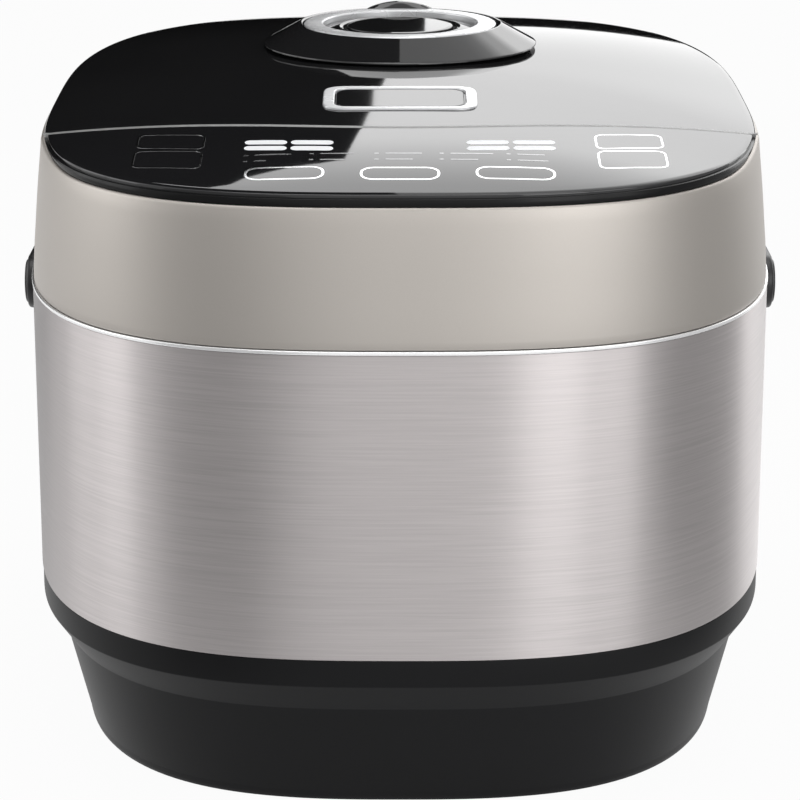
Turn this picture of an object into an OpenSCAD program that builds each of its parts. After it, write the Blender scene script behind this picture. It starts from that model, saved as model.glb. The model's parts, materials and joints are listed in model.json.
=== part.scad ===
// Induction rice cooker: round-cornered body with a steel sleeve, a thick hinged lid with a
// touch panel, an inner pot, a swinging carry handle and the working parts inside.
// Lengths are in millimetres. The front faces -Y, +X is to the right, z = 0 is the table.

/* [Body] */
// Width of the steel sleeve
body_w = 263; // [250:1:290]
// Depth of the steel sleeve
body_d = 321; // [310:1:350]
// Squareness of the plan outline: 2 is an ellipse, more is squarer
plan_power = 2.87; // [2.7:0.01:3.2]
// Height of the top edge of the steel sleeve
sleeve_top = 161; // [158:1:180]
// Thickness of the sleeve's sheet
sleeve_t = 0.8; // [0.5:0.1:1.2]

/* [Base] */
// Height of the top edge of the base tray
base_h = 57.8; // [56:0.1:64]
// Height of the band at the top of the base tray
base_flange_h = 9.3; // [7:0.1:12]
// How far the base wall steps in under that band
base_step = 6.9; // [4:0.1:9]
// Height of the slope under that band
base_step_h = 10.5; // [7:0.1:12]
// How far the base wall leans in from top to bottom
base_lean = 8; // [4:0.5:10]
// Wall of the base tray
base_wall = 3; // [2:0.1:4]
// Thickness of the base floor
floor_t = 3; // [2:0.1:4]
// Height of the rubber feet
foot_h = 4; // [3:0.5:5]
// Radius of a rubber foot
foot_r = 10; // [7:0.5:12]
// Sideways place of the feet
foot_x = 62; // [50:1:66]
// Front and rear place of the feet
foot_y = 100; // [85:1:104]

/* [Seam and lid] */
// Height of the bright ring at the parting line
ring_h = 1.6; // [1:0.1:2.5]
// Open gap under the lid
lid_gap = 0.9; // [0.6:0.1:2]
// Height of the lid's edge over its lower rim, at mid depth
lid_edge_h = 52.7; // [50:0.1:64]
// Rise of the lid's crown over its edge
crown_h = 14.1; // [12:0.1:16]
// Wall of the lid band
band_wall = 2.8; // [2.2:0.1:3.4]
// Thickness of the rear lid cover
cover_t = 2.6; // [2:0.1:3.4]
// Thickness of the panel glass
glass_t = 2; // [1.5:0.1:2.6]
// Height of the dark rim under the front of the panel
rim_h = 3.7; // [3:0.1:6]

/* [Panel line] */
// Radius of the bright line between panel and cover, in plan
line_r = 252; // [230:1:300]
// Front of that line, in front of the body's middle
line_front = 91; // [85:1:95]
// Width of the bright line
line_w = 1.7; // [1:0.1:2.5]

/* [Pot] */
// Outer radius of the inner pot
pot_r = 104; // [98:0.5:106]
// Depth of the inner pot, under its rim
pot_depth = 108; // [100:1:110]
// Wall of the inner pot
pot_wall = 2; // [1.5:0.1:2.5]
// Radius of the pot's lower corner
pot_corner = 28; // [20:1:34]
// Width of the pot's rim flange
pot_flange = 8; // [6:0.5:9]
// How far the pot sits behind the body's middle
pot_back = 5; // [0:1:8]
// Gap between the pot and its well
pot_gap = 2.5; // [1.5:0.1:4]

/* [Vent] */
// How far the steam vent sits behind the body's middle
vent_back = 34; // [28:1:40]
// Outer radius of the sloping vent skirt
skirt_r = 50.9; // [46:0.1:54]
// Outer radius of the bright vent ring
vent_r = 37.2; // [34:0.1:40]
// Height of the bright ring's top over the lid's edge at mid depth
vent_rise = 20.8; // [20:0.1:24]
// Height of the finger tab over the bright ring
tab_h = 3.7; // [2:0.1:5]

/* [Open button] */
// Width of the bright frame
frame_w = 55; // [50:0.5:60]
// Depth of the bright frame
frame_d = 30; // [26:0.5:32]
// Width of the frame's border
frame_border = 4.5; // [3:0.1:6]
// Middle of the button in front of the body's middle
button_front = 61; // [58:0.5:64]

/* [Handle] */
// Height of the handle's pivots
pivot_z = 147; // [143:1:150]
// Gap between the sleeve and a handle arm
arm_gap = 1.8; // [1.4:0.1:3]
// Thickness of a handle arm
arm_t = 4.4; // [4:0.1:7]
// Height of the handle's bar
bar_h = 20; // [10:0.5:24]
// Thickness of the handle's rear bar
bar_t = 12; // [9:0.5:16]
// Finger gap between the body and the rear bar
bar_gap = 12.5; // [11:0.5:24]
// Radius of the handle's pivot bosses
pivot_boss_r = 10; // [8:0.5:13]
// Radius of the rounded corners between the arms and the bar
bar_corner = 80; // [60:1:90]
// Radius of a pivot stud
stud_r = 4; // [3:0.1:5]

/* [Hinge] */
// Radius of the hinge pin
pin_r = 2.5; // [2:0.1:3]
// Radius of a hinge knuckle
knuckle_r = 5.5; // [5:0.1:6]
// Width of the hinge
hinge_w = 80; // [70:1:90]

/* [Fits] */
// Running clearance of a shaft in its hole
run_fit = 0.07; // [0.03:0.01:0.1]
// Gap between still pieces that sit beside each other
seat_gap = 0.2; // [0.1:0.05:0.3]
// Gap between pieces that move past each other
move_gap = 0.4; // [0.3:0.05:0.6]

/* [Hidden] */
$fn = 96;
ring_steps = 96;
lid_power = plan_power + 0.16;

half_w = body_w / 2;
half_d = body_d / 2;
bar_rear = half_d + bar_gap + bar_t;
// How far the bright ring stands out of the sleeve
ring_proud = 0.25;
// The frame's origin is under the middle of the whole footprint, handle included.
footprint_mid = (bar_rear - half_d - ring_proud) / 2;

// Insets of the plan outline, from the sleeve's face inwards
flange_inset = 0.3;
step_inset = flange_inset + base_step;
lean_inset = step_inset + base_lean;
foot_edge_inset = lean_inset + 1.3;
band_low_inset = 0.5;
band_top_inset = 5.7;
carrier_inset = 6.3;
cover_inset = 6.2;
glass_inset = 7.1;
frame_inset = band_low_inset + band_wall + 0.3;
deck_skirt_inset = sleeve_t + seat_gap;
deck_skirt_t = 2.5;

// Heights
tray_edge_z = foot_h - 3;
floor_z = foot_h;
floor_top = floor_z + floor_t;
flange_z = base_h - base_flange_h;
wall_top_z = flange_z - base_step_h;
ring_top = sleeve_top + ring_h;
lid_z = ring_top + lid_gap;
edge_mid_z = lid_z + lid_edge_h;
deck_low = sleeve_top - 6;
deck_ledge = sleeve_top - 3.1;
pot_top = sleeve_top - 1;
pot_floor = pot_top - pot_depth;
flange_t = 2;
frame_z = lid_z + 2.5;
frame_t = 2.5;
frame_top = frame_z + frame_t;

vent_top = edge_mid_z + vent_rise;

// Lid surface
edge_slope = 0.034;
edge_curve = 0.00005;
crown_power = 2.12;
rim_full_y = -100;
rim_none_y = -58;
line_mid = line_r - line_front;
// Where the bright line meets the band
line_end_y = line_mid - sqrt(line_r * line_r - pow(half_w - band_top_inset, 2));

// Pot, well, bowl and coil
pot_inner_turn = pot_r - pot_corner;
bowl_gap = 3;
bowl_t = 2.5;
bowl_top = pot_floor + pot_corner;
bowl_floor = pot_floor - bowl_gap;
bowl_under = bowl_floor - bowl_t;
bowl_inner = pot_corner + bowl_gap;
well_in = pot_r + pot_gap;
well_t = 2;
guide_r = 18.2;
coil_h = 3;
coil_w = 3.2;
coil_pitch = 4;
coil_first = 26;
ferrite_h = 5.2;
ferrite_top = bowl_under - coil_h - 0.1;
ferrite_low = ferrite_top - ferrite_h;
coil_frame_t = 5;
coil_frame_low = ferrite_low - coil_frame_t - 0.1;
plunger_r = 14.5;
sensor_floor = bowl_floor - 15;
spring_wire = 0.8;

// Screw posts between the base and the deck
post_x = 80;
post_y = 108;
post_r = 4.5;
screw_r = 2;

// Boards, cooling fins and fan in the base
board_w = 140;
board_y = [-124, -52];
board_z = floor_top + 7;
board_t = 1.6;
sink_w = 50;
sink_d = 36;
sink_h = 22;
fin_pitch = 6;
fin_t = 2;
fan_pos = [-45, 62];
fan_size = 70;
fan_h = 15;
fan_bore = 32.5;
fan_blades = 7;
fan_shaft_r = 2;

// Mains inlet in the rear wall
inlet_w = 36;
inlet_z = [13, 41];
inlet_back = 122;
socket_w = 25;
socket_z = [19, 35];
socket_depth = 19;

// Hinge
hinge_y = half_d + 2;
hinge_z = lid_z + 3.7;
notch_w = hinge_w + 14;
notch_top = hinge_z + 9;
ear_t = 10;
knuckle_w = 17;

// Latch
latch_y = pot_back - pot_r - 28;
latch_z = lid_z + 24.5;
lever_w = 12;
lever_t = 3.5;
latch_pin_r = 2;
hook_low = sleeve_top - 14;
pusher_y = -58;
slot_y = [latch_y - 15, latch_y + 4];
catch_edge = slot_y[1] - 0.6;

// Button
button_slope = 5.7;
button_w = frame_w - 2 * frame_border - 2 * move_gap;
button_d = frame_d - 2 * frame_border - 2 * move_gap;
button_h = 9;
cup_floor = edge_mid_z - 12;
frame_r = 9;

// Heater disc, its screw posts and the sensor in the lid
heater_r = pot_r - 20;
lid_post_x = 70;
lid_post_y = [-30, 60];
lid_post_r = 4;
lid_sensor_pos = [40, -20];

// Control board in the lid
panel_board_z = edge_mid_z - 12;
panel_board_y = [-132, -97];
panel_board_w = 160;
panel_board_t = 1.6;
display_x = 38;
display_y = -110;
key_places = [[-68, -112], [68, -112], [-37, -127], [0, -127], [37, -127]];

// Handle
arm_in = half_w + arm_gap;
arm_out = arm_in + arm_t;
cap_t = 0.8;
bar_in = half_d + bar_gap;

// ---------------------------------------------------------------- helpers

// Moves a piece from the body's middle to the frame's origin.
module in_frame() translate([0, -footprint_mid, 0]) children();

// A point of the plan outline, set in by inset, in the direction of an angle.
function plan_radius(inset, power, angle) =
    pow(pow(abs(cos(angle)) / (half_w - inset), power)
        + pow(abs(sin(angle)) / (half_d - inset), power), -1 / power);
function plan_point(inset, power, angle) =
    plan_radius(inset, power, angle) * [cos(angle), sin(angle)];
function plan_points(inset, power = plan_power) =
    [for (i = [0 : ring_steps - 1]) plan_point(inset, power, i * 360 / ring_steps)];
function flat_ring(inset, z) = [for (p = plan_points(inset)) [p.x, p.y, z]];
// Rear reach of the plan outline at a sideways place.
function plan_y(inset, x) =
    (half_d - inset) * pow(1 - pow(abs(x) / (half_w - inset), plan_power), 1 / plan_power);

// How far out a point of the lid lies: 0 in the middle, 1 at the edge.
function lid_share(x, y) = min(1, pow(pow(abs(x) / (half_w - glass_inset), lid_power)
    + pow(abs(y) / (half_d - glass_inset), lid_power), 1 / lid_power));
function edge_z(y) = edge_mid_z + edge_slope * y + edge_curve * y * y;
function dome_z(x, y) = edge_z(y) + crown_h * (1 - pow(lid_share(x, y), crown_power));
// 1 where the dark rim has its full height, 0 where it has run out.
function rim_share(y) =
    let (t = max(0, min(1, (rim_none_y - y) / (rim_none_y - rim_full_y)))) t * t * (3 - 2 * t);

// Closed solid through rings of points: capped at both ends, or joined into a loop.
module loft(rings, looped = false) {
    n = len(rings[0]);
    m = len(rings);
    last = looped ? m - 1 : m - 2;
    walls = [for (k = [0 : last], i = [0 : n - 1])
        let (a = k * n, b = ((k + 1) % m) * n, j = (i + 1) % n)
        each [[a + i, b + i, b + j], [a + i, b + j, a + j]]];
    function middle(r) = [for (c = [0 : 2]) [for (p = r) p[c]] * [for (p = r) 1 / n]];
    ends = looped ? [] : [middle(rings[0]), middle(rings[m - 1])];
    caps = looped ? [] : [for (i = [0 : n - 1]) let (j = (i + 1) % n, t = (m - 1) * n)
        each [[i, j, m * n], [t + j, t + i, m * n + 1]]];
    polyhedron(concat([for (r = rings) each r], ends), concat(walls, caps), convexity = 6);
}

// Slab of the lid's plan shape between two height functions of x and y. Its inner rings lie at
// shares of the panel's outline, so slabs with different edges share one curved surface.
module lid_slab(inset, low, high) {
    shares = [0.2, 0.45, 0.68, 0.86, 1];
    outlines = concat([for (s = shares) s * plan_points(glass_inset, lid_power)],
        inset < glass_inset ? [plan_points(inset, lid_power)] : []);
    function ring(points, height) = [for (p = points) [p.x, p.y, height(p.x, p.y)]];
    loft(concat([for (o = outlines) ring(o, low)],
        [for (k = [len(outlines) - 1 : -1 : 0]) ring(outlines[k], high)]));
}

module plan_plate(inset, z, h) translate([0, 0, z]) linear_extrude(h) polygon(plan_points(inset));

// Everything behind the bright line, or behind a line moved forward by ahead.
module behind_line(ahead) translate([0, line_mid, 0]) cylinder(h = 400, r = line_r + ahead, $fn = 360);

module bar_x(x0, x1, y, z, r) translate([x0, y, z]) rotate([0, 90, 0]) cylinder(h = x1 - x0, r = r);

// Box from its lowest to its highest corner.
module block(a, b) translate(a) cube(b - a);

module tube(h, r_out, r_in) difference() {
    cylinder(h = h, r = r_out);
    translate([0, 0, -1]) cylinder(h = h + 2, r = r_in);
}

module rounded(w, d, r) union() {
    square([w - 2 * r, d], center = true);
    square([w, d - 2 * r], center = true);
    for (x = [-1, 1], y = [-1, 1])
        translate([x * (w / 2 - r), y * (d / 2 - r)]) circle(r);
}

module rings_up(major, wire, z0, pitch, count) for (i = [0 : count - 1])
    translate([0, 0, z0 + i * pitch]) rotate_extrude() translate([major, 0]) circle(wire, $fn = 24);

module at_corners(x, y) for (i = [-1, 1], j = [-1, 1]) translate([i * x, j * y, 0]) children();
module at_pot() translate([0, pot_back, 0]) children();
module at_vent() translate([0, vent_back, 0]) children();
module at_lid_posts() for (x = [-lid_post_x, lid_post_x], y = lid_post_y) translate([x, y, 0]) children();
module at_lid_sensor() translate([lid_sensor_pos.x, lid_sensor_pos.y, 0]) children();

// ---------------------------------------------------------------- base

module rubber_feet() color("#1c1c1e") in_frame() at_corners(foot_x, foot_y) {
    cylinder(h = foot_h, r = foot_r);
    cylinder(h = floor_top, r = 3);
}

module base_tray() color("#242527") in_frame() difference() {
    loft([
        flat_ring(foot_edge_inset + 3, floor_z), flat_ring(foot_edge_inset + 3, tray_edge_z),
        flat_ring(foot_edge_inset, tray_edge_z), flat_ring(lean_inset, tray_edge_z + 4),
        flat_ring(step_inset, wall_top_z), flat_ring(flange_inset, flange_z),
        flat_ring(flange_inset, base_h), flat_ring(flange_inset + base_wall, base_h),
        flat_ring(flange_inset + base_wall, flange_z + 1),
        flat_ring(step_inset + base_wall, wall_top_z + 1),
        flat_ring(lean_inset + base_wall, floor_top)]);
    at_corners(foot_x, foot_y) cylinder(h = floor_top + 1, r = 3.1);
    at_corners(post_x, post_y) cylinder(h = floor_top + 1, r = screw_r + 0.3);
    for (i = [-5 : 5]) translate([fan_pos.x + i * 5.4, fan_pos.y, 0])
        cube([3, 2 * sqrt(30 * 30 - pow(i * 5.4, 2)) + 1, 40], center = true);
    for (i = [0 : 5]) translate([-88 + i * 7, 120, wall_top_z - 18]) cube([3.4, 40, 14]);
    translate([-inlet_w / 2 - seat_gap, inlet_back, inlet_z[0] - seat_gap])
        cube([inlet_w + 2 * seat_gap, 60, inlet_z[1] - inlet_z[0] + 2 * seat_gap]);
}

module base_screws() color("#9a9da1") in_frame() at_corners(post_x, post_y) {
    translate([0, 0, floor_z - 1.6]) cylinder(h = 1.6, r = 4);
    translate([0, 0, floor_z]) cylinder(h = 16, r = screw_r);
}

module outer_sleeve() color("#b9b6b2") in_frame() difference() {
    plan_plate(0, base_h, sleeve_top - base_h);
    plan_plate(sleeve_t, base_h - 1, sleeve_top - base_h + 2);
    bar_x(-half_w - 2, half_w + 2, 0, pivot_z, stud_r + 0.3);
}

module seam_ring() color("#e6e6e6") in_frame() difference() {
    plan_plate(-ring_proud, sleeve_top, ring_h);
    plan_plate(1.9, sleeve_top - 1, ring_h + 2);
    block([-notch_w / 2, 0, sleeve_top - 1], [notch_w / 2, half_d + 5, ring_top + 1]);
}

// ---------------------------------------------------------------- body inside

module top_deck() color("#2b2c2e") in_frame() difference() {
    union() {
        difference() {
            plan_plate(deck_skirt_inset, pivot_z - 9, sleeve_top - pivot_z + 9);
            plan_plate(deck_skirt_inset + deck_skirt_t, pivot_z - 10, deck_low - pivot_z + 10);
        }
        difference() {
            plan_plate(2.1, sleeve_top, ring_h - 0.4);
            block([-notch_w / 2, 120, sleeve_top - 1], [notch_w / 2, half_d + 5, ring_top + 1]);
        }
        at_corners(post_x, post_y) translate([0, 0, floor_top])
            cylinder(h = deck_low - floor_top + 1, r = post_r);
    }
    at_pot() translate([0, 0, deck_ledge]) cylinder(h = 20, r = pot_r + pot_flange + 1.5);
    at_pot() translate([0, 0, deck_low - 1]) cylinder(h = 20, r = pot_r + 2.2);
    at_corners(post_x, post_y) translate([0, 0, floor_top - 1]) cylinder(h = 18, r = screw_r + 0.05);
    block([-9, slot_y[0], deck_low - 1], [9, slot_y[1], ring_top + 1]);
    bar_x(-half_w, half_w, 0, pivot_z, stud_r + 0.1);
}

module pot_well() color("#8d9196") in_frame() at_pot() translate([0, 0, bowl_top])
    tube(deck_low - bowl_top, well_in + well_t, well_in);

// Half profile of a bowl with a flat floor and one round corner.
module bowl_profile(floor, corner_r, top, inner) {
    translate([inner, floor]) square([pot_inner_turn - inner, top - floor]);
    intersection() {
        translate([pot_inner_turn, floor + corner_r]) circle(corner_r);
        translate([pot_inner_turn - 1, floor]) square([corner_r + 2, corner_r]);
    }
    if (top > floor + corner_r)
        translate([pot_inner_turn - 1, floor + corner_r])
            square([corner_r + 1, top - floor - corner_r]);
}

module coil_bowl() color("#d9d5cc") in_frame() at_pot() rotate_extrude() difference() {
    bowl_profile(bowl_under, bowl_inner + bowl_t, bowl_top, guide_r + 0.3);
    bowl_profile(bowl_floor, bowl_inner, bowl_top + 5, 0);
}

module induction_coil() color("#b66a3c") in_frame() at_pot()
    for (r = [coil_first : coil_pitch : pot_inner_turn - 2])
        translate([0, 0, bowl_under - coil_h]) tube(coil_h, r + coil_w / 2, r - coil_w / 2);

module side_coil() color("#b66a3c") in_frame() at_pot() {
    wire_r = 1.6;
    reach = bowl_inner + bowl_t + wire_r + 0.1;
    for (a = [14 : 13 : 66]) rotate_extrude()
        translate([pot_inner_turn + reach * cos(a), bowl_top - reach * sin(a)]) circle(wire_r, $fn = 24);
}

module ferrite_bars() color("#3a3a3c") in_frame() at_pot() for (a = [30 : 60 : 330]) rotate(a)
    block([coil_first, -6, ferrite_low], [pot_inner_turn - 3, 6, ferrite_top]);

module coil_frame() color("#cfcabd") in_frame() at_pot() {
    difference() {
        union() {
            translate([0, 0, coil_frame_low]) cylinder(h = coil_frame_t, r = 32);
            for (a = [30 : 60 : 330]) rotate(a)
                block([22, -8, coil_frame_low], [pot_inner_turn, 8, coil_frame_low + coil_frame_t]);
        }
        translate([0, 0, coil_frame_low - 1]) cylinder(h = 20, r = guide_r + 1);
    }
    for (a = [30, 90, 210, 330]) rotate(a) translate([pot_inner_turn - 6, 0, floor_top])
        cylinder(h = coil_frame_low - floor_top, r = 4);
}

module sensor_guide() color("#e2ded4") in_frame() at_pot() difference() {
    union() {
        translate([0, 0, sensor_floor]) cylinder(h = bowl_floor - sensor_floor, r = guide_r);
        translate([0, 0, bowl_floor]) cylinder(h = 1, r = guide_r + 3);
    }
    translate([0, 0, sensor_floor + 2]) cylinder(h = 30, r = plunger_r + 0.5);
    translate([0, 0, sensor_floor - 1]) cylinder(h = 5, r = 3.1 + run_fit);
}

module sensor_spring() color("#a7abb0") in_frame() at_pot()
    rings_up(8, spring_wire, sensor_floor + 2.9, 2.3, 4);

module sensor_plunger() color("#c3c6c9") in_frame() at_pot() {
    translate([0, 0, pot_floor - 2.8]) cylinder(h = 2.5, r = plunger_r);
    translate([0, 0, sensor_floor + 11]) cylinder(h = pot_floor - 2.8 - sensor_floor - 11, r = 12);
    translate([0, 0, sensor_floor - 10]) cylinder(h = 21, r = 3.1);
    translate([0, 0, sensor_floor - 4]) cylinder(h = 2, r = 4.6);
}

module power_board() color("#2f6b45") in_frame() {
    mid = (board_y[0] + board_y[1]) / 2;
    block([-board_w / 2, board_y[0], board_z], [board_w / 2, board_y[1], board_z + board_t]);
    translate([0, mid, floor_top]) at_corners(board_w / 2 - 6, (board_y[1] - board_y[0]) / 2 - 6)
        cylinder(h = board_z - floor_top, r = 3);
}

module heat_sink() color("#c9ccd0") in_frame() {
    left = 5 - board_w / 2;
    front = board_y[0] + 4;
    low = board_z + board_t;
    block([left, front, low], [left + sink_w, front + sink_d, low + 4]);
    for (x = [left : fin_pitch : left + sink_w - fin_t]) translate([x, front, low])
        cube([fin_t, sink_d, sink_h]);
}

module filter_parts() color("#d9b13b") in_frame() translate([0, 0, board_z + board_t]) {
    block([20, -120, 0], [46, -106, 18]);
    block([20, -102, 0], [46, -90, 16]);
    translate([0, -104, 0]) tube(11, 10, 5);
    for (x = [24, 42]) translate([x, -74, 0]) cylinder(h = 20, r = 7);
    block([-6, -80, 0], [6, -68, 12]);
}

module fan_frame() color("#26272a") in_frame() translate([fan_pos.x, fan_pos.y, floor_top]) {
    difference() {
        translate([-fan_size / 2, -fan_size / 2, 0]) cube([fan_size, fan_size, fan_h]);
        translate([0, 0, -1]) cylinder(h = fan_h + 2, r = fan_bore);
    }
    cylinder(h = 2, r = 14);
    cylinder(h = fan_h - 3, r = fan_shaft_r);
    for (a = [45 : 90 : 315]) rotate(a) block([12, -1.5, 0], [fan_bore + 1, 1.5, 2]);
}

module fan_rotor() color("#3b3c40") in_frame()
    translate([fan_pos.x, fan_pos.y, floor_top]) difference() {
        union() {
            translate([0, 0, 3]) cylinder(h = fan_h - 4, r = 13);
            for (i = [0 : fan_blades - 1]) rotate(i * 360 / fan_blades) translate([12, 0, 8.5])
                rotate([32, 0, 0]) translate([0, -6, -0.8]) cube([fan_bore - 14, 12, 1.6]);
        }
        cylinder(h = fan_h + 2, r = fan_shaft_r + run_fit);
    }

// The inlet's outer face leans as the base wall does.
function wall_y(z) = half_d - step_inset - base_lean * (wall_top_z - z) / (wall_top_z - tray_edge_z - 4);

module mains_inlet() color("#1f2022") in_frame() difference() {
    translate([-inlet_w / 2, 0, 0]) rotate([90, 0, 90]) linear_extrude(inlet_w) polygon([
        [inlet_back, inlet_z[0]], [wall_y(inlet_z[0]) - 0.6, inlet_z[0]],
        [wall_y(inlet_z[1]) - 0.6, inlet_z[1]], [inlet_back, inlet_z[1]]]);
    block([-socket_w / 2, wall_y(socket_z[0]) - socket_depth, socket_z[0]],
        [socket_w / 2, half_d, socket_z[1]]);
}

module inlet_pins() color("#d8d2c0") in_frame() {
    back = wall_y(socket_z[0]) - socket_depth;
    mid = (socket_z[0] + socket_z[1]) / 2;
    for (x = [-7, 0, 7]) translate([x - 1, back, mid - 3 + (x == 0 ? 2.5 : -1.5)]) cube([2, 13, 4]);
}

// ---------------------------------------------------------------- hinge, catch and pivots

module hinge_bracket() color("#8f9296") in_frame() difference() {
    union() {
        block([-hinge_w / 2, hinge_y - 36.5, sleeve_top + seat_gap],
            [hinge_w / 2, hinge_y - 6.5, sleeve_top + 2.2]);
        for (s = [-1, 1]) {
            x = s * (hinge_w / 2 - ear_t / 2);
            block([x - ear_t / 2, hinge_y - 9, sleeve_top + seat_gap],
                [x + ear_t / 2, hinge_y, hinge_z + knuckle_r]);
            bar_x(x - ear_t / 2, x + ear_t / 2, hinge_y, hinge_z, knuckle_r);
        }
    }
    bar_x(-hinge_w, hinge_w, hinge_y, hinge_z, pin_r + 0.05);
}

module hinge_pin() color("#c9cbce") in_frame()
    bar_x(-hinge_w / 2 - 1, hinge_w / 2 + 1, hinge_y, hinge_z, pin_r);

module hinge_springs() color("#a7abb0") in_frame() {
    for (s = [-1, 1], i = [0 : 3]) translate([s * (2 + i * 2.1), hinge_y, hinge_z])
        rotate([0, 90, 0]) rotate_extrude() translate([pin_r + 1.3, 0]) circle(0.9, $fn = 24);
}

module latch_catch() color("#b4b7ba") in_frame()
    block([-14, catch_edge, deck_low - 3.5], [14, catch_edge + 12, deck_low]);

module handle_studs() color("#c9cbce") in_frame() for (s = [0, 1]) mirror([s, 0, 0]) {
    head_out = half_w - deck_skirt_inset - deck_skirt_t - seat_gap;
    bar_x(head_out - 3, head_out, 0, pivot_z, stud_r + 3);
    bar_x(head_out - 3, arm_out - 0.2, 0, pivot_z, stud_r);
}

module handle_bushes() color("#3a3b3d") in_frame() for (s = [0, 1]) mirror([s, 0, 0]) difference() {
    bar_x(half_w + 0.3, arm_in - 0.3, 0, pivot_z, pivot_boss_r - 1);
    bar_x(half_w, arm_in, 0, pivot_z, stud_r + 0.1);
}

module inner_pot() color("#57585b") in_frame() at_pot() rotate_extrude() difference() {
    union() {
        bowl_profile(pot_floor, pot_corner, pot_top, 0);
        translate([0, pot_top - flange_t]) square([pot_r + pot_flange, flange_t]);
    }
    difference() {
        bowl_profile(pot_floor + pot_wall, pot_corner - pot_wall, pot_top + 5, 0);
        translate([pot_r - pot_wall, 0]) square([20, 400]);
    }
}

// ---------------------------------------------------------------- lid shell

// The band's upper edge runs under the cover behind the bright line, and beside and under the
// panel in front of it, so its points are spaced in two stretches that meet just in front of
// the line's ends.
step_ahead = 4.5;
line_angle = atan2(line_end_y - step_ahead, half_w - band_top_inset);
function band_points(inset, power) =
    let (n = 62, turn = (179.9 - 2 * line_angle) / n, m = 35, front = (179.6 + 2 * line_angle) / m)
    concat([for (i = [0 : n]) let (p = plan_point(inset, power, line_angle + 0.05 + i * turn))
            [p.x, p.y, edge_z(p.y) - cover_t - 0.15]],
        [for (i = [0 : m]) let (p = plan_point(inset, power, 180.2 - line_angle + i * front))
            [p.x, p.y, edge_z(p.y) - 0.1 - rim_h * rim_share(p.y)]]);
// Ring at a share of the band's height, and ring at a depth under its upper edge
function band_ring(inset, share) = [for (p = band_points(inset, plan_power + 0.16 * share))
    [p.x, p.y, lid_z + share * (edge_z(p.y) - rim_h - lid_z)]];
function band_edge(inset, depth) = [for (p = band_points(inset, lid_power)) [p.x, p.y, p.z - depth]];
function band_seat(inset) = [for (p = band_points(inset, lid_power))
    [p.x, p.y, min(p.z - 0.05, edge_z(p.y) - glass_t - seat_gap)]];

module lid_band() color("#b0aba4") in_frame() difference() {
    low = band_low_inset;
    inside = band_low_inset + band_wall;
    loft([band_ring(low, 0), band_ring(low + 0.3, 0.14), band_ring(low + 1.3, 0.38),
        band_ring(low + 2.4, 0.63), band_ring(low + 3.7, 0.88), band_edge(band_top_inset - 0.5, 0.7),
        band_edge(band_top_inset, 0), band_edge(glass_inset - 0.25, 0), band_seat(glass_inset - 0.2),
        band_seat(band_top_inset + band_wall), band_ring(inside + 2.2, 0.63), band_ring(inside, 0.14),
        band_ring(inside, 0)], looped = true);
    block([-notch_w / 2, 100, lid_z - 1], [notch_w / 2, half_d + 5, notch_top]);
}

module lid_top() color("#101112") in_frame() difference() {
    intersection() {
        lid_slab(cover_inset, function (x, y) dome_z(x, y) - cover_t, function (x, y) dome_z(x, y));
        behind_line(-line_w / 2 - 0.05);
    }
    at_vent() cylinder(h = 300, r = vent_r - 7);
    on_button() translate([0, 0, -20]) linear_extrude(40)
        rounded(frame_w + 2 * seat_gap, frame_d + 2 * seat_gap, frame_r + seat_gap);
}

module panel_glass() color("#0b0c0d") in_frame() difference() {
    lid_slab(glass_inset, function (x, y) dome_z(x, y) - glass_t, function (x, y) dome_z(x, y));
    behind_line(line_w / 2 + 0.05);
}

module panel_trim() color("#d4d4d2") in_frame() difference() {
    intersection() {
        lid_slab(glass_inset, function (x, y) dome_z(x, y) - glass_t, function (x, y) dome_z(x, y) + 0.15);
        behind_line(line_w / 2);
    }
    behind_line(-line_w / 2);
}

// Dark carrier under the glass; its edge shows as the rim that runs out towards the line's ends.
module front_rim() color("#17181a") in_frame() difference() {
    lid_slab(carrier_inset, function (x, y) dome_z(x, y) - rim_h + 0.1,
        function (x, y) dome_z(x, y) - glass_t - 0.1);
    lid_slab(3, function (x, y) edge_z(y) - 40, function (x, y) edge_z(y) - rim_share(y) * (rim_h - 0.1));
    behind_line(line_w / 2 + 0.05);
    for (s = [-1, 1]) translate([s * display_x, display_y, 200]) cube([35, 15, 60], center = true);
    for (p = key_places) translate([p.x, p.y, 100]) cylinder(h = 200, r = 4.2);
}

module lid_frame() color("#d8d5cf") in_frame() {
    mid = (panel_board_y[0] + panel_board_y[1]) / 2;
    difference() {
        union() {
            plan_plate(frame_inset, frame_z, frame_t);
            difference() {
                plan_plate(frame_inset, lid_z + 0.3, frame_z - lid_z);
                plan_plate(frame_inset + 2.5, lid_z, frame_z - lid_z);
            }
            for (x = [-lid_post_x, lid_post_x], y = lid_post_y) translate([x, y, frame_z])
                cylinder(h = dome_z(x, y) - cover_t - 1.2 - frame_z, r = lid_post_r);
            translate([0, mid, frame_z])
                at_corners(panel_board_w / 2 - 6, (panel_board_y[1] - panel_board_y[0]) / 2 - 5)
                    cylinder(h = panel_board_z - frame_z, r = 3.5);
        }
        at_vent() cylinder(h = 300, r = 11 + seat_gap);
        block([-8, latch_y - 10, 0], [8, latch_y + 6, 300]);
        block([-notch_w / 2, hinge_y - 14.7, 0], [notch_w / 2, half_d + 5, 300]);
        at_lid_posts() translate([0, 0, lid_z]) cylinder(h = 30, r = 1.8);
        at_lid_sensor() cylinder(h = 300, r = 5);
    }
}

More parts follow.
